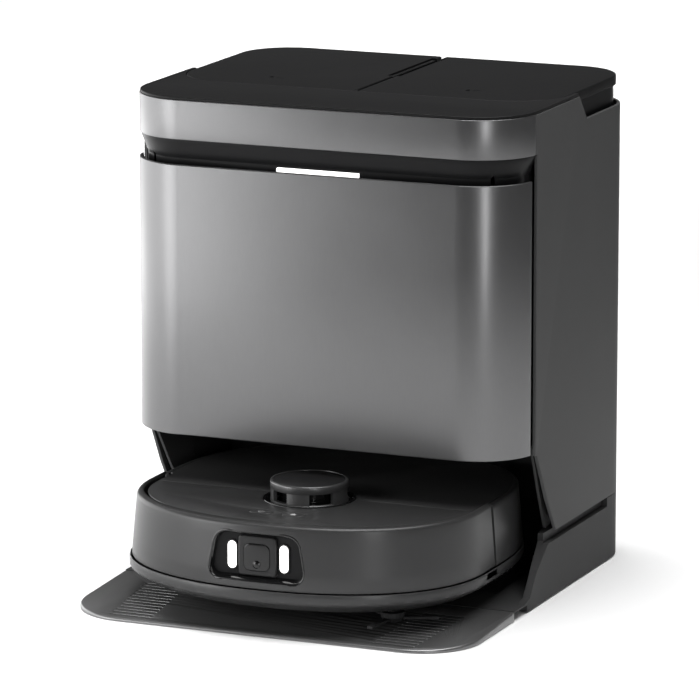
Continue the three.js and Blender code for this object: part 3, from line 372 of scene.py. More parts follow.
def mesh_object(name, points, faces):
    """An object from station millimetres."""
    mesh = bpy.data.meshes.new(name)
    mesh.from_pydata([station(*p) for p in points], [], faces)
    mesh.update()
    made = bmesh.new()
    made.from_mesh(mesh)
    bmesh.ops.remove_doubles(made, verts=made.verts, dist=1e-7)
    bmesh.ops.recalc_face_normals(made, faces=made.faces)
    made.to_mesh(mesh)
    made.free()
    return new_object(name, mesh)


def baked(obj):
    """Applies every modifier on obj."""
    bpy.context.view_layer.update()
    evaluated = obj.evaluated_get(bpy.context.evaluated_depsgraph_get())
    mesh = bpy.data.meshes.new_from_object(evaluated)
    obj.modifiers.clear()
    obj.data = mesh
    return obj


def rounded_edges(obj, width, segments=3, angle=30):
    """Rounds the edges sharper than an angle, by a width in millimetres."""
    bevel = obj.modifiers.new("edges", "BEVEL")
    bevel.width = width * MM
    bevel.segments = segments
    bevel.limit_method = "ANGLE"
    bevel.angle_limit = math.radians(angle)
    bevel.use_clamp_overlap = True
    bevel.harden_normals = False
    return baked(obj)


def cut(obj, *cutters):
    """Cuts obj by the cutters, and removes them."""
    for cutter in cutters:
        step = obj.modifiers.new("step", "BOOLEAN")
        step.operation = "DIFFERENCE"
        step.solver = "EXACT"
        step.object = cutter
    baked(obj)
    for cutter in cutters:
        bpy.data.objects.remove(cutter)
    return obj


def joined(name, objects):
    """One object holding every mesh of the others, unchanged."""
    whole = bmesh.new()
    for obj in objects:
        whole.from_mesh(obj.data)
    mesh = bpy.data.meshes.new(name)
    whole.to_mesh(mesh)
    whole.free()
    for obj in objects:
        bpy.data.objects.remove(obj)
    return new_object(name, mesh)


def dressed(obj, body, finish, stands_for=(), smooth=35):
    """Gives a finished piece its material, shading and body."""
    obj.data.materials.clear()
    obj.data.materials.append(MATERIALS[finish])
    for polygon in obj.data.polygons:
        polygon.use_smooth = True
    obj.data.set_sharp_from_angle(angle=math.radians(smooth))
    if body in ROBOT_BODIES:
        obj.data.transform(Matrix.Translation((0, PARKED_Y * MM, BODY_RIDE_Z * MM)))
    elif body in ROBOT_GEAR:
        obj.data.transform(Matrix.Translation((0, PARKED_Y * MM, 0)))
    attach(obj, body)
    if stands_for:
        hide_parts(*stands_for)
    return obj


def rounded(x0, y0, x1, y1, radii, steps=14):
    """A rectangle's points with a radius on each corner: front left, front right, rear right, rear left."""
    corners = [
        (x0 + radii[0], y0 + radii[0], radii[0], math.pi),
        (x1 - radii[1], y0 + radii[1], radii[1], math.pi * 1.5),
        (x1 - radii[2], y1 - radii[2], radii[2], 0),
        (x0 + radii[3], y1 - radii[3], radii[3], math.pi / 2),
    ]
    points = []
    for cx, cy, radius, start in corners:
        for i in range(steps + 1):
            angle = start + math.pi / 2 * i / steps
            points.append((cx + radius * math.cos(angle), cy + radius * math.sin(angle)))
    return points


def even_rounded(x0, y0, x1, y1, radius, steps=8):
    return rounded(x0, y0, x1, y1, [radius] * 4, steps)


def shrinking(x0, y0, x1, y1, radius, steps=8):
    """A rounded rectangle as a function of how far it is drawn in."""
    def outline(inset):
        return even_rounded(x0 + inset, y0 + inset, x1 - inset, y1 - inset, max(radius - inset, 0.05), steps)
    return outline


def superellipse(half, reach, power, angle):
    c, s = math.cos(angle), math.sin(angle)
    x = math.copysign(abs(c) ** (2 / power), c) * half
    y = math.copysign(abs(s) ** (2 / power), s) * reach
    return x, y


def robot_outline(half, front_y, rear_y, steps=48):
    """The robot's outline: squarish round front, short straight sides and a fuller rear."""
    points = []
    for i in range(2 * steps + 1):
        x, y = superellipse(half, ROBOT_MID_Y - front_y, FRONT_POWER, math.pi + math.pi * i / (2 * steps))
        points.append((x, ROBOT_MID_Y + y))
    for i in range(2 * steps + 1):
        x, y = superellipse(half, rear_y - ROBOT_SIDE_END_Y, REAR_POWER, math.pi * i / (2 * steps))
        points.append((x, ROBOT_SIDE_END_Y + y))
    return points


def loft(name, layers):
    """A closed solid through equally long outlines, each given as (points, z)."""
    count = len(layers[0][0])
    points = [(x, y, z) for outline, z in layers for x, y in outline]
    faces = []
    for layer in range(len(layers) - 1):
        for i in range(count):
            a = layer * count + i
            b = layer * count + (i + 1) % count
            faces.append((a, b, b + count, a + count))
    faces.append(tuple(reversed(range(count))))
    faces.append(tuple(range((len(layers) - 1) * count, len(layers) * count)))
    return mesh_object(name, points, faces)


def prism(name, outline, z0, z1):
    return loft(name, [(outline, z0), (outline, z1)])


def block(name, x0, y0, z0, x1, y1, z1):
    return prism(name, [(x0, y0), (x1, y0), (x1, y1), (x0, y1)], z0, z1)


def soft_block(name, x0, y0, z0, x1, y1, z1, radius=2, edge=0.6):
    """A block with round corners in plan and softened top and bottom edges."""
    return pillow(name, shrinking(x0, y0, x1, y1, radius), z0, z1, edge, edge)


def pillow(name, outline, z0, z1, bottom_edge, top_edge, steps=4):
    """A solid of outline(inset) whose bottom and top edges are rounded."""
    layers = []
    if bottom_edge:
        for i in range(steps + 1):
            angle = math.pi / 2 * i / steps
            inset = bottom_edge * (1 - math.sin(angle))
            layers.append((outline(inset), z0 + bottom_edge * (1 - math.cos(angle))))
    else:
        layers.append((outline(0), z0))
    if top_edge:
        for i in range(steps + 1):
            angle = math.pi / 2 * i / steps
            inset = top_edge * (1 - math.cos(angle))
            layers.append((outline(inset), z1 - top_edge * (1 - math.sin(angle))))
    else:
        layers.append((outline(0), z1))
    return loft(name, layers)


def front_facing(name, outline, y0, y1, edge=0.4):
    """A solid of outline(inset) drawn in (X, Z), from y0 at the front to y1, with a rounded front edge."""
    made = pillow(name, outline, -y1, -y0, 0, edge)
    made.data.transform(Matrix.Translation((0, -STATION_Y, 0)))
    made.data.transform(Matrix.Rotation(math.pi / 2, 4, "X"))
    made.data.transform(Matrix.Translation((0, STATION_Y, 0)))
    return made


def turned(name, profile, centre, steps=72):
    """A turned solid from (radius, height) points that start and end on the axis."""
    points = []
    faces = []
    inner = profile[1:-1]
    for radius, height in inner:
        for i in range(steps):
            angle = 2 * math.pi * i / steps
            points.append((radius * math.cos(angle), radius * math.sin(angle), height))
    for layer in range(len(inner) - 1):
        for i in range(steps):
            a = layer * steps + i
            b = layer * steps + (i + 1) % steps
            faces.append((a, b, b + steps, a + steps))
    start = len(points)
    points.append((0, 0, profile[0][1]))
    points.append((0, 0, profile[-1][1]))
    top = (len(inner) - 1) * steps
    for i in range(steps):
        faces.append((start, (i + 1) % steps, i))
        faces.append((start + 1, top + i, top + (i + 1) % steps))
    points = [(x + centre[0], y + centre[1], z + centre[2]) for x, y, z in points]
    return mesh_object(name, points, faces)


def arc(radius_from, radius_to, height_from, height_to, steps=4):
    """Points of a quarter round between two (radius, height) pairs."""
    points = []
    for i in range(1, steps + 1):
        angle = math.pi / 2 * i / steps
        inward, upward = 1 - math.cos(angle), math.sin(angle)
        points.append((radius_from + (radius_to - radius_from) * inward,
                       height_from + (height_to - height_from) * upward))
    return points


def swept(name, sections):
    """A closed body through equally long closed sections, with flat ends."""
    count = len(sections[0])
    points = [p for section in sections for p in section]
    faces = []
    for layer in range(len(sections) - 1):
        for i in range(count):
            a = layer * count + i
            b = layer * count + (i + 1) % count
            faces.append((a, b, b + count, a + count))
    faces.append(tuple(range(count)))
    faces.append(tuple(reversed(range((len(sections) - 1) * count, len(sections) * count))))
    return mesh_object(name, points, faces)


def ring_swept(name, sections):
    """A closed body through equally long closed sections that run round to the first again."""
    count = len(sections[0])
    points = [p for section in sections for p in section]
    total = len(points)
    faces = []
    for layer in range(len(sections)):
        for i in range(count):
            a = layer * count + i
            b = layer * count + (i + 1) % count
            faces.append((a, b, (b + count) % total, (a + count) % total))
    return mesh_object(name, points, faces)


# ---- Panels that wrap round the station ----

FRONT_FLAT = HALF_WIDTH - FRONT_RADIUS
FRONT_ARC = FRONT_RADIUS * math.pi / 2
SIDE_FLAT = REAR_Y - FRONT_RADIUS - REAR_RADIUS
REAR_ARC = REAR_RADIUS * math.pi / 2
REAR_FLAT = HALF_WIDTH - REAR_RADIUS
HALF_GIRTH = FRONT_FLAT + FRONT_ARC + SIDE_FLAT + REAR_ARC + REAR_FLAT
CORNER_STEPS = 24


def girth_at(y):
    """How far round from the middle of the front the side at that Y is."""
    if y >= FRONT_RADIUS:
        return FRONT_FLAT + FRONT_ARC + y - FRONT_RADIUS
    return FRONT_FLAT + FRONT_RADIUS * math.acos(1 - y / FRONT_RADIUS)


def around(s, depth):
    """The point that far round the station's outline and that deep inside it."""
    side = math.copysign(1, s)
    run = abs(s)
    if run <= FRONT_FLAT:
        return side * run, depth
    run -= FRONT_FLAT
    if run <= FRONT_ARC:
        angle = run / FRONT_RADIUS
        reach = FRONT_RADIUS - depth
        return side * (FRONT_FLAT + reach * math.sin(angle)), FRONT_RADIUS - reach * math.cos(angle)
    run -= FRONT_ARC
    if run <= SIDE_FLAT:
        return side * (HALF_WIDTH - depth), FRONT_RADIUS + run
    run -= SIDE_FLAT
    if run <= REAR_ARC:
        angle = run / REAR_RADIUS
        reach = REAR_RADIUS - depth
        centre = HALF_WIDTH - REAR_RADIUS
        return side * (centre + reach * math.cos(angle)), REAR_Y - REAR_RADIUS + reach * math.sin(angle)
    run -= REAR_ARC
    return side * (REAR_FLAT - run), REAR_Y - depth


def bent_panel(name, corners, depth, thickness, edge, shift_y=0.0):
    """A flat pattern in (girth, z), thickened inwards, its outer edges rounded, wrapped round the station."""
    pattern = bmesh.new()
    face = pattern.faces.new([pattern.verts.new((s, 0, z)) for s, z in corners])
    pushed = bmesh.ops.extrude_face_region(pattern, geom=[face])["geom"]
    for vert in (v for v in pushed if isinstance(v, bmesh.types.BMVert)):
        vert.co.y = thickness
    bmesh.ops.recalc_face_normals(pattern, faces=pattern.faces)
    outer = [e for e in pattern.edges if all(abs(v.co.y) < 1e-6 for v in e.verts)]
    bmesh.ops.bevel(pattern, geom=outer, offset=edge, segments=3, profile=0.5, affect="EDGES")
    stops = []
    for i in range(1, CORNER_STEPS):
        share = i / CORNER_STEPS
        stops += [FRONT_FLAT + FRONT_ARC * share, FRONT_FLAT + FRONT_ARC + SIDE_FLAT + REAR_ARC * share]
    stops += [FRONT_FLAT, FRONT_FLAT + FRONT_ARC, FRONT_FLAT + FRONT_ARC + SIDE_FLAT, HALF_GIRTH - REAR_FLAT]
    for stop in sorted(stops + [-s for s in stops]):
        bmesh.ops.bisect_plane(pattern, geom=pattern.verts[:] + pattern.edges[:] + pattern.faces[:],
                               plane_co=(stop, 0, 0), plane_no=(1, 0, 0), dist=1e-4)
    for vert in pattern.verts:
        x, y = around(vert.co.x, vert.co.y + depth)
        vert.co = station(x, y + shift_y, vert.co.z)
    bmesh.ops.recalc_face_normals(pattern, faces=pattern.faces)
    mesh = bpy.data.meshes.new(name)
    pattern.to_mesh(mesh)
    pattern.free()
    return new_object(name, mesh)


def mirrored(right_half):
    """A whole pattern from its right half, whose first and last corners lie on the middle line."""
    left = [(-s, z) for s, z in reversed(right_half) if s > 1e-6]
    return right_half + left


# ---- Station ----

def dock_outline(inset):
    return rounded(-HALF_WIDTH + inset, inset, HALF_WIDTH - inset, REAR_Y - inset,
                   [FRONT_RADIUS - inset, FRONT_RADIUS - inset, REAR_RADIUS - inset, REAR_RADIUS - inset])


def make_shell():
    side = girth_at(SIDE_FRONT_Y)
    rear_window = HALF_GIRTH - REAR_WINDOW_HALF
    middle = HALF_GIRTH - 0.1
    right_half = [
        (0, BAND_BOTTOM_Z), (side, BAND_BOTTOM_Z), (side, 145.2), (girth_at(59.8), 144.7),
        (girth_at(86.8), 96.8), (girth_at(110.8), SIDE_BOTTOM_Z), (rear_window, SIDE_BOTTOM_Z),
        (rear_window, REAR_WINDOW_TOP_Z), (middle, REAR_WINDOW_TOP_Z), (middle, NOTCH_Z),
        (girth_at(NOTCH_END_Y), NOTCH_Z), (girth_at(NOTCH_TOP_Y), BAND_TOP_Z), (0, BAND_TOP_Z),
    ]
    shell = bent_panel("wrap_shell", mirrored(right_half), 0, SHELL_WALL, 0.7)
    # The shell's darker paint on its sides and rear is painted shade.
    dressed(shell, "root", "station_graphite", ["outer_shell"])
    tint_band(shell)


def tint_band(shell):
    """The band's front carries the door's brighter brushed paint; the rest of the shell keeps a darker,
    duller paint, which is painted shade on the sides and rear.
    """
    shell.data.materials.append(MATERIALS["band_graphite"])
    limit = (FRONT_RADIUS - 6) * MM + STATION_Y
    for polygon in shell.data.polygons:
        if polygon.center.y < limit and polygon.center.z > (BAND_BOTTOM_Z - 0.5) * MM:
            polygon.material_index = 1


def door_panel(name, inset, depth, thickness, edge, z0=DOOR_BOTTOM_Z, z1=DOOR_TOP_Z):
    """A sheet as wide as the door less an inset at each end, that deep behind its face."""
    reach = girth_at(DOOR_EDGE_Y) - inset
    corners = [(-reach, z0), (reach, z0), (reach, z1), (-reach, z1)]
    return bent_panel(name, corners, depth, thickness, edge, shift_y=DOOR_SHIFT_Y)


def make_door():
    dressed(door_panel("door_skin", 0, 0, 2.6, 1.1), "door", "door_graphite", ["front_door"])
    liner = [door_panel("door_liner", 3, 2.8, 1.6, 0.3, DOOR_BOTTOM_Z + 3, DOOR_TOP_Z - 3)]
    for z in (DOOR_BOTTOM_Z + 3, DOOR_TOP_Z - 8):
        liner.append(door_panel("flange", 3, 4, 6.5, 0.3, z, z + 2.4))
    for x in (-120, 0, 120):
        liner.append(soft_block("rib", x - 1.2, 4, DOOR_BOTTOM_Z + 6, x + 1.2, 7.5, DOOR_TOP_Z - 8, 0.4, 0.4))
    dressed(joined("door_liner", liner), "door", "black_plastic")
    magnets = [soft_block("magnet", x - 9, 4, z, x + 9, 9.5, z + 7, 1.5, 0.5)
               for x in (-130, 130) for z in (DOOR_BOTTOM_Z + 12, DOOR_TOP_Z - 24)]
    dressed(joined("door_magnets", magnets), "door", "contact_steel")


def reveal_outline(inset):
    return rounded(-HALF_WIDTH + inset, inset, HALF_WIDTH - inset, 92,
                   [FRONT_RADIUS - inset, FRONT_RADIUS - inset, 1, 1])


def make_reveal():
    """The gloss strip that slopes in under the band, and the upright face with the light bar."""
    rows = [
        (RECESS_DEPTH + 0.4, 398.6), (RECESS_DEPTH, 399.4), (RECESS_DEPTH, 407.9),
        (RECESS_DEPTH - 0.3, 408.9), (RECESS_DEPTH - 1, 410.2),
        (2.9, 421.2), (1.9, 423.8), (1.6, BAND_BOTTOM_Z - 0.3),
    ]
    reveal = loft("recess_reveal", [(reveal_outline(inset), z) for inset, z in rows])
    side = HALF_WIDTH - 10
    cut(reveal, block("hollow", -170, 17, 380, 170, 120, 500),
        block("slot", -LIGHT_HALF - 0.6, 3, LIGHT_BOTTOM_Z - 0.3,
              LIGHT_HALF + 0.6, 13, LIGHT_BOTTOM_Z + LIGHT_HEIGHT + 0.3),
        block("side_left", -BEYOND, SIDE_FRONT_Y - 0.4, 380, -side, 200, 500),
        block("side_right", side, SIDE_FRONT_Y - 0.4, 380, BEYOND, 200, 500))
    dressed(reveal, "root", "recess_black", ["recess_trim"])
    face = shrinking(-LIGHT_HALF, LIGHT_BOTTOM_Z, LIGHT_HALF, LIGHT_BOTTOM_Z + LIGHT_HEIGHT, 1.2)
    bar = front_facing("light_diffuser", face, RECESS_DEPTH - 0.5, 12, 0.8)
    dressed(bar, "root", "light_white", ["light_bar"])


def lid_outline(side, inset):
    near, far = LID_INNER_X + inset, LID_OUTER_X - inset
    x0, x1 = (-far, -near) if side < 0 else (near, far)
    front, rear, inner = LID_FRONT_RADIUS - inset, LID_REAR_RADIUS - inset, max(0.1, 3 - inset)
    radii = [front, inner, inner, rear] if side < 0 else [inner, front, rear, inner]
    return rounded(x0, LID_FRONT_Y + inset, x1, LID_REAR_Y - inset, radii)


def make_deck():
    deck = pillow("deck_panel", lambda inset: dock_outline(0.7 + inset), 450, TOP_Z, 0, 1.0)
    trim = [block("behind", -BEYOND, NOTCH_TOP_Y - 0.3, NOTCH_Z, BEYOND, 400, 500)]
    trim += [prism("well", lid_outline(side, -0.7), 440, 480) for side in (-1, 1)]
    trim.append(block("gap", -12, LID_FRONT_Y + 6, 440, 12, 400, 480))
    skirting = prism("skirting", even_rounded(-BEYOND, -50, BEYOND, 400, 1, 14), NOTCH_Z, BAND_TOP_Z + 0.3)
    cut(skirting, prism("keep", dock_outline(SHELL_WALL + 0.5), 430, 480))
    cut(deck, skirting, *trim)
    dressed(rounded_edges(deck, 0.35, 2, 50), "root", "lid_black", ["top_deck"])


def make_lid(side, body, node_name):
    lid = pillow(f"{node_name}_shell", lambda inset: lid_outline(side, inset), LID_BOTTOM_Z, TOP_Z, 0.6, 1.4)
    x0, x1 = sorted((side * 1.0, side * 7.0))
    cut(lid, prism("recess", even_rounded(x0, GRIP_FRONT_Y - 4, x1, 304, 1.5), TOP_Z - 3.6, 480))
    rib0, rib1 = sorted((side * 2.1, side * 6.8))
    grip = []
    for i in range(GRIP_RIBS):
        y = GRIP_FRONT_Y + i * GRIP_PITCH
        grip.append(soft_block("rib", rib0, y, TOP_Z - 4, rib1, y + 2, TOP_Z - 1.4, 0.9, 0.6))
    dressed(lid, body, "lid_black", [node_name])
    dressed(joined(f"{node_name}_grip", grip), body, "lid_black")
    icon = drop_icon(f"{node_name}_mark", side * 99.5, 140, side)
    dressed(icon, body, "icon_grey")


def drop_icon(name, x, y, side):
    """A plain water drop with a wave line, printed on a lid."""
    drop = []
    for i in range(40):
        angle = 2 * math.pi * i / 40
        pull = 1 + 0.75 * max(0, math.sin(angle)) ** 6
        drop.append((x - 4 + 2.1 * math.cos(angle), y + 2.1 * math.sin(angle) * pull))
    parts = [prism("drop", drop, TOP_Z - 0.3, TOP_Z)]
    for row in range(2 if side < 0 else 3):
        wave = []
        for i in range(25):
            wave.append((x + 1 + i * 0.3, y - 1.9 + row * 1.9 + 0.35 * math.sin(i * 0.8)))
        wave += [(px, py + 0.55) for px, py in reversed(wave)]
        parts.append(prism("wave", wave, TOP_Z - 0.3, TOP_Z))
    return joined(name, parts)


def ramp_outline(inset):
    return rounded(-HALF_WIDTH + inset, RAMP_FRONT_Y + inset, HALF_WIDTH - inset, RAMP_REAR_Y - inset,
                   [RAMP_RADIUS - inset, RAMP_RADIUS - inset, max(0.2, 2 - inset), max(0.2, 2 - inset)])


def ramp_top(y):
    """The ramp's surface rises from its front lip to the station floor."""
    share = min(1, max(0, (y - RAMP_FRONT_Y) / (RAMP_REAR_Y - RAMP_FLAT - RAMP_FRONT_Y)))
    return RAMP_LIP_Z + RAMP_RISE * share


def make_ramp():
    rows = [(0.4, 0), (0, 0.4), (0, 1.8), (0.5, 2.6), (1.5, RAMP_LIP_Z)]
    plate = loft("ramp_panel", [(ramp_outline(inset), z) for inset, z in rows])
    for vert in plate.data.vertices:
        station_y = (vert.co.y - STATION_Y) / MM
        if vert.co.z > 1.2 * MM:
            vert.co.z += (ramp_top(station_y) - RAMP_LIP_Z) * MM
    grooves = []
    # Dark strips laid on each groove floor are painted shade: they stand in for the shadow deep in the
    # grooves.
    groove_shade_strips = []
    for i in range(GROOVES):
        y = GROOVE_FIRST_Y + i * GROOVE_PITCH
        z = ramp_top(y)
        for side in (-1, 1):
            x = side * (130.5 + 0.8 * i)
            grooves.append(soft_block("groove", x - 21, y - 1.7, z - 1.5, x + 21, y + 1.7, z + 3, 1.6, 0.5))
            groove_shade_strips.append(soft_block("groove_shade_block", x - 20.8, y - 1.55, z - 1.48, x + 20.8, y + 1.55, z - 0.35,
                                     1.4, 0.3))
    cut(plate, joined("grooves", grooves))
    dressed(rounded_edges(plate, 0.3, 2, 40), "root", "ramp_graphite", ["ramp_plate"])
    # The dark groove strips are painted shade, not a separate rubber part.
    dressed(joined("ramp_groove_shade", groove_shade_strips), "root", "rubber_black")


def softened(node_name, finish, width):
    """Keeps a CAD node, merges its flat faces, rounds its edges and paints it."""
    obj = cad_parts[node_name]
    flat = obj.modifiers.new("flat", "DECIMATE")
    flat.decimate_type = "DISSOLVE"
    flat.angle_limit = math.radians(1)
    bevel = obj.modifiers.new("edges", "BEVEL")
    bevel.width = width * MM
    bevel.segments = 2
    bevel.limit_method = "ANGLE"
    bevel.angle_limit = math.radians(35)
    bevel.use_clamp_overlap = True
    obj.data.materials.clear()
    obj.data.materials.append(MATERIALS[finish])
    for polygon in obj.data.polygons:
        polygon.use_smooth = True
        polygon.material_index = 0
    obj.data.set_sharp_from_angle(angle=math.radians(35))


# ---- Robot ----

def front_path(half, front_y, steps=56):
    """The bumper's run from its left end, round the front, to its right end."""
    points = [(-half, BUMPER_END_Y)]
    for i in range(2 * steps + 1):
        x, y = superellipse(half, ROBOT_MID_Y - front_y, FRONT_POWER, math.pi + math.pi * i / (2 * steps))
        points.append((x, ROBOT_MID_Y + y))
    points.append((half, BUMPER_END_Y))
    return points


def bumper_profile():
    """(half width, front Y, z) of each corner of the bumper's section, round from the outer bottom edge."""
    def face(z, inset=0.0):
        draft = BUMPER_DRAFT * (z - BUMPER_BOTTOM_Z) / (BUMPER_TOP_Z - BUMPER_BOTTOM_Z) + inset
        return BUMPER_HALF - draft, BUMPER_FRONT_Y + draft, z
    rows = [face(BUMPER_BOTTOM_Z, 1.0), face(BUMPER_BOTTOM_Z + 0.3, 0.3), face(BUMPER_BOTTOM_Z + 1.0)]
    rows += [face(z) for z in (60, 75, 90, 99)]
    for i in range(1, 6):
        angle = math.pi / 2 * i / 5
        rows.append(face(99.6 + 3.8 * math.sin(angle), 3.4 * (1 - math.cos(angle))))
    rows += [(162.2, -111.6, 102.9), (161.7, -110.9, 102.4), (161.6, -110.8, 100.8)]
    inner = BUMPER_HALF - BUMPER_DRAFT - 3
    rows += [(inner, BUMPER_FRONT_Y + BUMPER_DRAFT + 3, 100.4)]
    rows += [(BUMPER_HALF - 3, BUMPER_FRONT_Y + 3, BUMPER_BOTTOM_Z)]
    return rows


def bumper_front_y(x, z):
    """Where the bumper's face is at that X and height."""
    draft = BUMPER_DRAFT * (z - BUMPER_BOTTOM_Z) / (BUMPER_TOP_Z - BUMPER_BOTTOM_Z)
    half = BUMPER_HALF - draft
    reach = ROBOT_MID_Y - BUMPER_FRONT_Y - draft
    return ROBOT_MID_Y - reach * (1 - (abs(x) / half) ** FRONT_POWER) ** (1 / FRONT_POWER)


def window_outline(grow=0.0, steps=10):
    """The camera window's rounded trapezoid in (X, Z), and its outward directions."""
    corners = [Vector(corner) for corner in WINDOW_CORNERS]
    centre = Vector((0, WINDOW_MID_Z))
    points = []
    for i, corner in enumerate(corners):
        start = corner + (corners[i - 1] - corner).normalized() * WINDOW_RADIUS
        end = corner + (corners[(i + 1) % 4] - corner).normalized() * WINDOW_RADIUS
        for k in range(steps + 1):
            t = k / steps
            points.append(start * (1 - t) ** 2 + corner * 2 * t * (1 - t) + end * t ** 2)
    grown = []
    count = len(points)
    for i, point in enumerate(points):
        along = (points[(i + 1) % count] - points[i - 1]).normalized()
        outward = Vector((along.y, -along.x))
        if outward.dot(point - centre) < 0:
            outward = -outward
        grown.append((point + outward * grow, outward))
    return grown


def make_bumper():
    profile = bumper_profile()
    paths = [front_path(half, front_y) for half, front_y, z in profile]
    sections = [[(paths[row][i][0], paths[row][i][1], profile[row][2]) for row in range(len(profile))]
                for i in range(len(paths[0]))]
    shell = swept("bumper_shell", sections)
    hole = [tuple(p) for p, outward in window_outline(1.4)]
    cutter = front_facing("hole", lambda inset: hole, -140, -118, 0)
    cut(shell, cutter)
    dressed(shell, "bumper", "robot_graphite", ["bumper"])
    lip_profile = [(2.2, -0.02), (1.8, -0.3), (1.0, -0.3), (0.3, 0.1), (-0.2, 0.8), (-1.2, 3.0), (-3.0, 10.5),
                   (0.9, 10.5), (0.9, 1.2), (2.6, 0.5)]
    rings = []
    for point, outward in window_outline():
        ring = []
        for offset, depth in lip_profile:
            place = point + outward * offset
            ring.append((place.x, bumper_front_y(place.x, place.y) + depth, place.y))
        rings.append(ring)
    dressed(ring_swept("window_lip", rings), "bumper", "gloss_black")
    make_window()


def make_window():
    back = [tuple(p) for p, outward in window_outline(0.6)]
    plate = front_facing("window_plate", lambda inset: back, -121.4, -118.8, 0)
    dressed(plate, "bumper", "recess_black", ["camera_window"])
    panel = front_facing("pod_panel", shrinking(-18.6, 54.5, 18.6, 91.5, 3.2), -125.6, -121, 1.6)
    cut(panel, front_facing("socket", shrinking(-13.2, 59.2, 13.2, 85, 6.6), -130, -124.8, 0))
    dressed(panel, "bumper", "pod_black", ["camera_pod"])
    face = front_facing("camera_face", shrinking(-12.8, 59.6, 12.8, 84.6, 6.2), -126.4, -124.6, 0.8)
    dressed(face, "bumper", "gloss_black")
    lens_profile = [(0, 0), (3.6, 0), (3.6, 1.3), (3.0, 1.7), (2.7, 1.4), (1.5, 1.9), (0, 2.0)]
    eye = turned("camera_lens", lens_profile, (0, 0, 0), 40)
    eye.data.transform(Matrix.Translation((0, -STATION_Y, 0)))
    eye.data.transform(Matrix.Translation(station(0, -125.9, LENS_Z)) @ Matrix.Rotation(math.pi / 2, 4, "X"))
    dressed(eye, "bumper", "gloss_black")
    for side, word in ((-1, "left"), (1, "right")):
        x = side * LAMP_X
        pill = front_facing(f"{word}_lamp", shrinking(x - 4.2, 59.4, x + 4.2, 84.8, 4.15, 10),
                            -123.6, -121.2, 1.0)
        dressed(pill, "bumper", "light_white", [f"{word}_fill_light"])
        cup = front_facing(f"{word}_lamp_cup", shrinking(x - 5.8, 57.8, x + 5.8, 86.4, 5.7, 10),
                           -122.6, -121.2, 0.4)
        dressed(cup, "bumper", "black_plastic")


def skirt(inset):
    return robot_outline(SKIRT_HALF - inset, SKIRT_FRONT_Y + inset, ROBOT_REAR_Y - inset)


def make_chassis_skirt():
    """The band round the robot's foot, over the CAD underbody."""
    rows = [(4.2, 30.6), (2.4, 31.9), (0.9, 33.4), (0.2, 35.2), (0, 37), (0, 42.6), (0.3, 43.2), (0.9, 43.5),
            (9, 43.5), (9, 30.6)]
    outlines = [skirt(inset) for inset, z in rows]
    rings = [[(outlines[r][i][0], outlines[r][i][1], rows[r][1]) for r in range(len(rows))]
             for i in range(len(outlines[0]))]
    dressed(ring_swept("foot_band", rings), "robot", "robot_graphite")


def make_rear_shell():
    rows = [(170.4, 210.2, 43.9), (170.9, 210.7, 44.6), (168.4, 208.6, 80), (167.2, 207.6, 96)]
    for i in range(1, 5):
        angle = math.pi / 2 * i / 4
        inward = 3.0 * (1 - math.cos(angle))
        rows.append((167.2 - inward, 207.6 - inward, 97.6 + 3.2 * math.sin(angle)))
    rows += [(161.4, 204.6, 100.6), (161.2, 204.4, 98.6), (164.0, 205.2, 96), (167.6, 207.6, 43.9)]
    start = BUMPER_END_Y + 4
    sections = []
    steps = 96
    for i in range(steps + 3):
        section = []
        for half, rear_y, z in rows:
            if i == 0:
                section.append((half, start, z))
            elif i == steps + 2:
                section.append((-half, start, z))
            else:
                angle = math.pi * (i - 1) / steps
                x, y = superellipse(half, rear_y - ROBOT_SIDE_END_Y - 5, REAR_POWER, angle)
                section.append((x, ROBOT_SIDE_END_Y + 5 + y, z))
        sections.append(section)
    dressed(swept("rear_wall", sections), "robot", "robot_graphite", ["robot_rear_shell"])


def deck_outline(inset):
    """The deck follows the bumper's rim in front and the rear wall behind."""
    points = []
    steps = 48
    front, rear = DECK_HALF - inset, DECK_REAR_HALF - inset
    for i in range(2 * steps + 1):
        angle = math.pi + math.pi * i / (2 * steps)
        x, y = superellipse(front, ROBOT_MID_Y + 107.2 - inset, FRONT_POWER, angle)
        points.append((x, ROBOT_MID_Y + y))
    points += [(front, 35 + inset), (rear, 36.5 + inset)]
    for i in range(2 * steps + 1):
        x, y = superellipse(rear, 163.8 - inset, REAR_POWER, math.pi * i / (2 * steps))
        points.append((x, 40 + y))
    points += [(-rear, 36.5 + inset), (-front, 35 + inset)]
    return points


def circle(x, y, radius, steps=64):
    angles = [2 * math.pi * i / steps for i in range(steps)]
    return [(x + radius * math.cos(angle), y + radius * math.sin(angle)) for angle in angles]


def key_outline(x, grow, radius):
    half_length, half_width = KEY_HALF[0] + grow, KEY_HALF[1] + grow
    return shrinking(x - half_length, KEY_Y - half_width, x + half_length, KEY_Y + half_width, radius, 10)


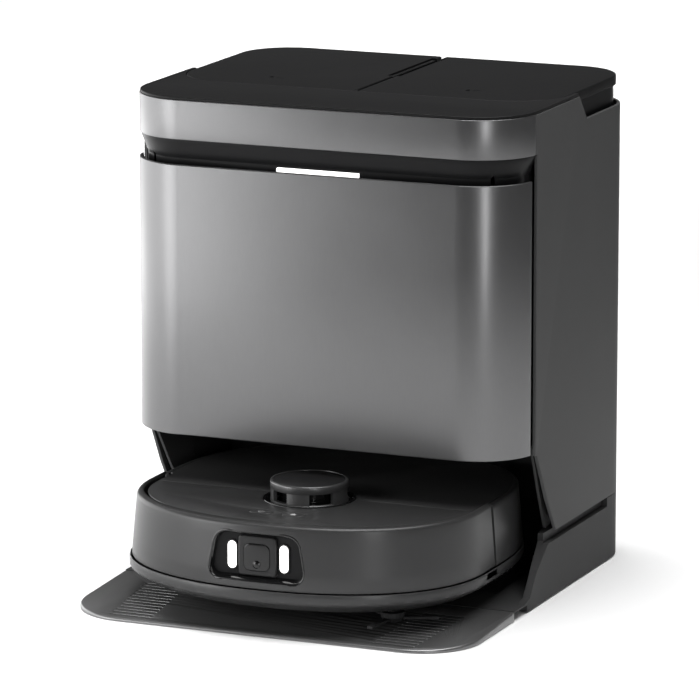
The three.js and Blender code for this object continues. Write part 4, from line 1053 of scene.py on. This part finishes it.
def make_decks():
    for name, y0, y1, body, stands_for in (
        ("front_plate", DECK_SEAM_Y - 0.25, 400, "robot", "front_deck"),
        ("cover_plate", -400, DECK_SEAM_Y + 0.25, "cover", "top_cover"),
    ):
        plate = pillow(name, deck_outline, DECK_BOTTOM_Z, DECK_TOP_Z, 0, 1.1)
        cutters = [block("half", -BEYOND, y0, 80, BEYOND, y1, 120),
                   prism("turret", circle(0, TURRET_Y, TURRET_WELL), 80, 120)]
        if body == "robot":
            for x in (POWER_KEY_X, HOME_KEY_X):
                cutters.append(prism("key", key_outline(x, 0.3, 5.2)(0), 80, 120))
        cut(plate, *cutters)
        dressed(rounded_edges(plate, 0.3, 2, 50), body, "robot_graphite", [stands_for])
    for x, body, stands_for in ((POWER_KEY_X, "power_key", "power_button"),
                                (HOME_KEY_X, "home_key", "home_button")):
        key = pillow(f"{stands_for}_cap", key_outline(x, 0, 5), DECK_BOTTOM_Z - 1, DECK_TOP_Z + 0.25, 0, 0.7)
        dressed(key, body, "robot_graphite", [stands_for])
        icon = key_icon(f"{stands_for}_mark", x, KEY_Y, stands_for == "power_button")
        dressed(icon, body, "icon_grey")


def key_icon(name, x, y, is_power):
    """A power ring with its stroke, or a small house."""
    z0, z1 = DECK_TOP_Z, DECK_TOP_Z + 0.29
    if not is_power:
        house = [(-3, 0), (0, 2.8), (3, 0), (2.3, 0), (2.3, -2.4), (-2.3, -2.4), (-2.3, 0)]
        return prism(name, [(x + dx, y + dy) for dx, dy in house], z0, z1)
    steps = 26
    ring = []
    for radius, start, sweep in ((2.9, 125, 290), (2.3, 415, -290)):
        for i in range(steps + 1):
            angle = math.radians(start + sweep * i / steps)
            ring.append((x + radius * math.cos(angle), y + radius * math.sin(angle)))
    stroke = block("stroke", x - 0.3, y + 0.4, z0, x + 0.3, y + 3.2, z1)
    return joined(name, [prism("ring", ring, z0, z1), stroke])


def make_turret():
    centre = (0, TURRET_Y, 0)
    ring_profile = [
        (0, 80), (34, 80), (34, 94), (42.6, 97.5), (43, 98), (43, 100.6), (42.6, 101.2), (41.8, 101.5),
        (40.8, 101.3), (39.4, 99.6), (37.2, 99.2), (29, 99.2), (29, 91), (0, 91),
    ]
    dressed(turned("turret_ring", ring_profile, centre, 96), "robot", "gloss_black", ["turret_base"])
    hood_profile = [(0, 111.6), (34.2, 111.6), (36.2, 111.8), (HOOD_RADIUS, 112.3), (HOOD_RADIUS, 117.3)]
    hood_profile += arc(HOOD_RADIUS, 34.6, 117.3, 119.3) + [(33.6, 119.2), (33.4, 118.3), (0, 118.3)]
    dressed(turned("turret_hood", hood_profile, centre, 96), "robot", "turret_silver", ["turret_cap"])
    disc_profile = [(0, 118.4), (33.1, 118.4), (33.1, 118.9), (32.7, 119.1), (0, 119.3)]
    dressed(turned("turret_disc", disc_profile, centre, 96), "robot", "pod_black")
    posts = []
    for start, width in ((-30, 40), (50, 20), (105, 30), (165, 61), (258, 35)):
        outline = []
        steps = max(3, width // 4)
        for radius, order in ((36.0, 1), (32.5, -1)):
            for i in range(steps + 1)[::order]:
                angle = math.radians(start + width * i / steps)
                outline.append((radius * math.cos(angle), TURRET_Y + radius * math.sin(angle)))
        posts.append(prism("post", outline, 99.4, 112))
    dressed(joined("turret_posts", posts), "robot", "turret_silver")
    sill_profile = [(0, 99), (36.3, 99), (36.3, 100.8), (35.6, 101.4), (31, 101.4), (31, 100), (29.4, 100),
                    (0, 99.6)]
    sill = turned("turret_sill", sill_profile, centre, 96)
    cut(sill, prism("seat", circle(0, TURRET_Y, 29.2), 80, 120))
    dressed(sill, "robot", "turret_silver")
    drum_profile = [
        (0, 91), (LASER_RADIUS, 91), (LASER_RADIUS, 109.8), (LASER_RADIUS - 0.8, 110.5), (0, 110.5),
    ]
    drum = turned("laser_drum", drum_profile, centre)
    cut(drum, soft_block("eye", -9, TURRET_Y - 40, 103, 9, TURRET_Y - 20, 109, 2, 1))
    dressed(drum, "lidar", "gloss_black", ["lidar_rotor"])


# ---- Cleaning parts under the robot ----

def make_mops():
    """Two looped mop pads, dished a little at the rim."""
    rings, steps = 20, 96
    for side, word in ((-1, "left"), (1, "right")):
        x, y = side * MOP_X, MOP_Y
        rng = random.Random(7 + side)
        points, faces = [], []
        for r in range(1, rings + 1):
            radius = MOP_RADIUS * r / rings
            for px, py in circle(x, y, radius, steps):
                loop = 0.35 * math.sin(radius * 1.1) + rng.uniform(-0.18, 0.18)
                points.append((px, py, MOP_FACE_Z + loop * 0.6 + (1.4 if r == rings else 0)))
        for r in range(rings - 1):
            for i in range(steps):
                a, b = r * steps + i, r * steps + (i + 1) % steps
                faces.append((a, b, b + steps, a + steps))
        centre = len(points)
        points.append((x, y, MOP_FACE_Z))
        faces += [(centre, (i + 1) % steps, i) for i in range(steps)]
        rim = len(points)
        for z, radius in ((15.6, MOP_RADIUS), (16.7, MOP_RADIUS - 1.2)):
            points += [(px, py, z) for px, py in circle(x, y, radius, steps)]
        last = (rings - 1) * steps
        for i in range(steps):
            j = (i + 1) % steps
            faces.append((last + i, last + j, rim + j, rim + i))
            faces.append((rim + i, rim + j, rim + steps + j, rim + steps + i))
        faces.append(tuple(rim + steps + i for i in range(steps)))
        pad = mesh_object(f"{word}_mop_cloth", points, faces)
        dressed(pad, f"{word}_mop", "mop_fabric", [f"{word}_mop_pad"], smooth=60)


def make_dust_bag():
    """A pleated paper bag, a little slack between its folds."""
    middle_x = (BAG_LEFT_X + BAG_RIGHT_X) / 2
    middle_y = (BAG_FRONT_Y + BAG_REAR_Y) / 2

    def outline(inset, pleat):
        points = []
        for x, y in even_rounded(BAG_LEFT_X + inset, BAG_FRONT_Y + inset,
                                 BAG_RIGHT_X - inset, BAG_REAR_Y - inset, 14, 10):
            side = 1 if y > middle_y else -1
            points.append((x, y + side * pleat * math.sin((x - middle_x) * 0.22) * 0.5))
        return points
    layers = [(outline(16, 0.5), BAG_BOTTOM_Z)]
    folds = 24
    for i in range(folds + 1):
        t = i / folds
        belly = 2.2 * math.sin(math.pi * t)
        edge = 9 * max(0, 1 - t * 12) + 13 * max(0, (t - 0.86) / 0.14)
        layers.append((outline(4 - belly + edge, 1.4), BAG_BOTTOM_Z + 2 + 176 * t))
    layers.append((outline(22, 0.3), BAG_TOP_Z))
    bag = loft("paper_bag", layers)
    dressed(bag, "root", "bag_paper", ["dust_bag"], smooth=60)


# Nodes kept from the CAD: each finish, with its nodes and the width of their rounded edges in mm.
PLAIN_NODES = {
    "base_graphite": {"base_tray": 0.6, "bay_liner": 0.4},
    "black_plastic": {
        "washboard": 0.5, "rear_cover": 0.4, "power_inlet": 0.4, "bag_bay": 0.6, "tank_bay": 0.3,
        "suction_motor": 0.6, "water_pump": 0.6, "dryer_fan": 0.6, "brush_guard": 0.4, "fan_motor": 0.6,
        "left_wheel_arm": 0.5, "right_wheel_arm": 0.5, "left_mop_plate": 0.5, "right_mop_plate": 0.5,
        "caster_fork": 0.4, "side_brush": 0.4,
    },
    "rubber_black": {
        "front_foot_strip": 0.4, "rear_foot_strip": 0.4, "evac_seal": 0.8, "left_drive_wheel": 0.6,
        "right_drive_wheel": 0.6, "caster_wheel": 0.4, "roller_brush": 0.4,
    },
    "white_plastic": {"bag_collar": 0.4, "detergent_bottle": 0.8},
    "circuit_green": {"main_board": 0.2, "robot_board": 0.2},
    "contact_steel": {"left_contact": 0.8, "right_contact": 0.8},
    "clear_tank": {"clean_tank": 0.5},
    "smoked_tank": {"dirty_tank": 0.5, "dust_bin": 0.8},
    "robot_graphite": {"robot_chassis": 0.3},
    "cell_pack": {"battery": 1.0},
}

# ---- Making ----

make_camera()
make_studio()
make_floor(floor_material)
make_shell()
make_door()
make_reveal()
make_deck()
make_lid(-1, "clean_lid", "clean_tank_lid")
make_lid(1, "dirty_lid", "dirty_tank_lid")
make_ramp()
make_bumper()
make_chassis_skirt()
make_rear_shell()
make_decks()
make_turret()
make_mops()
make_dust_bag()
for finish, widths in PLAIN_NODES.items():
    for node_name, width in widths.items():
        softened(node_name, finish, width)
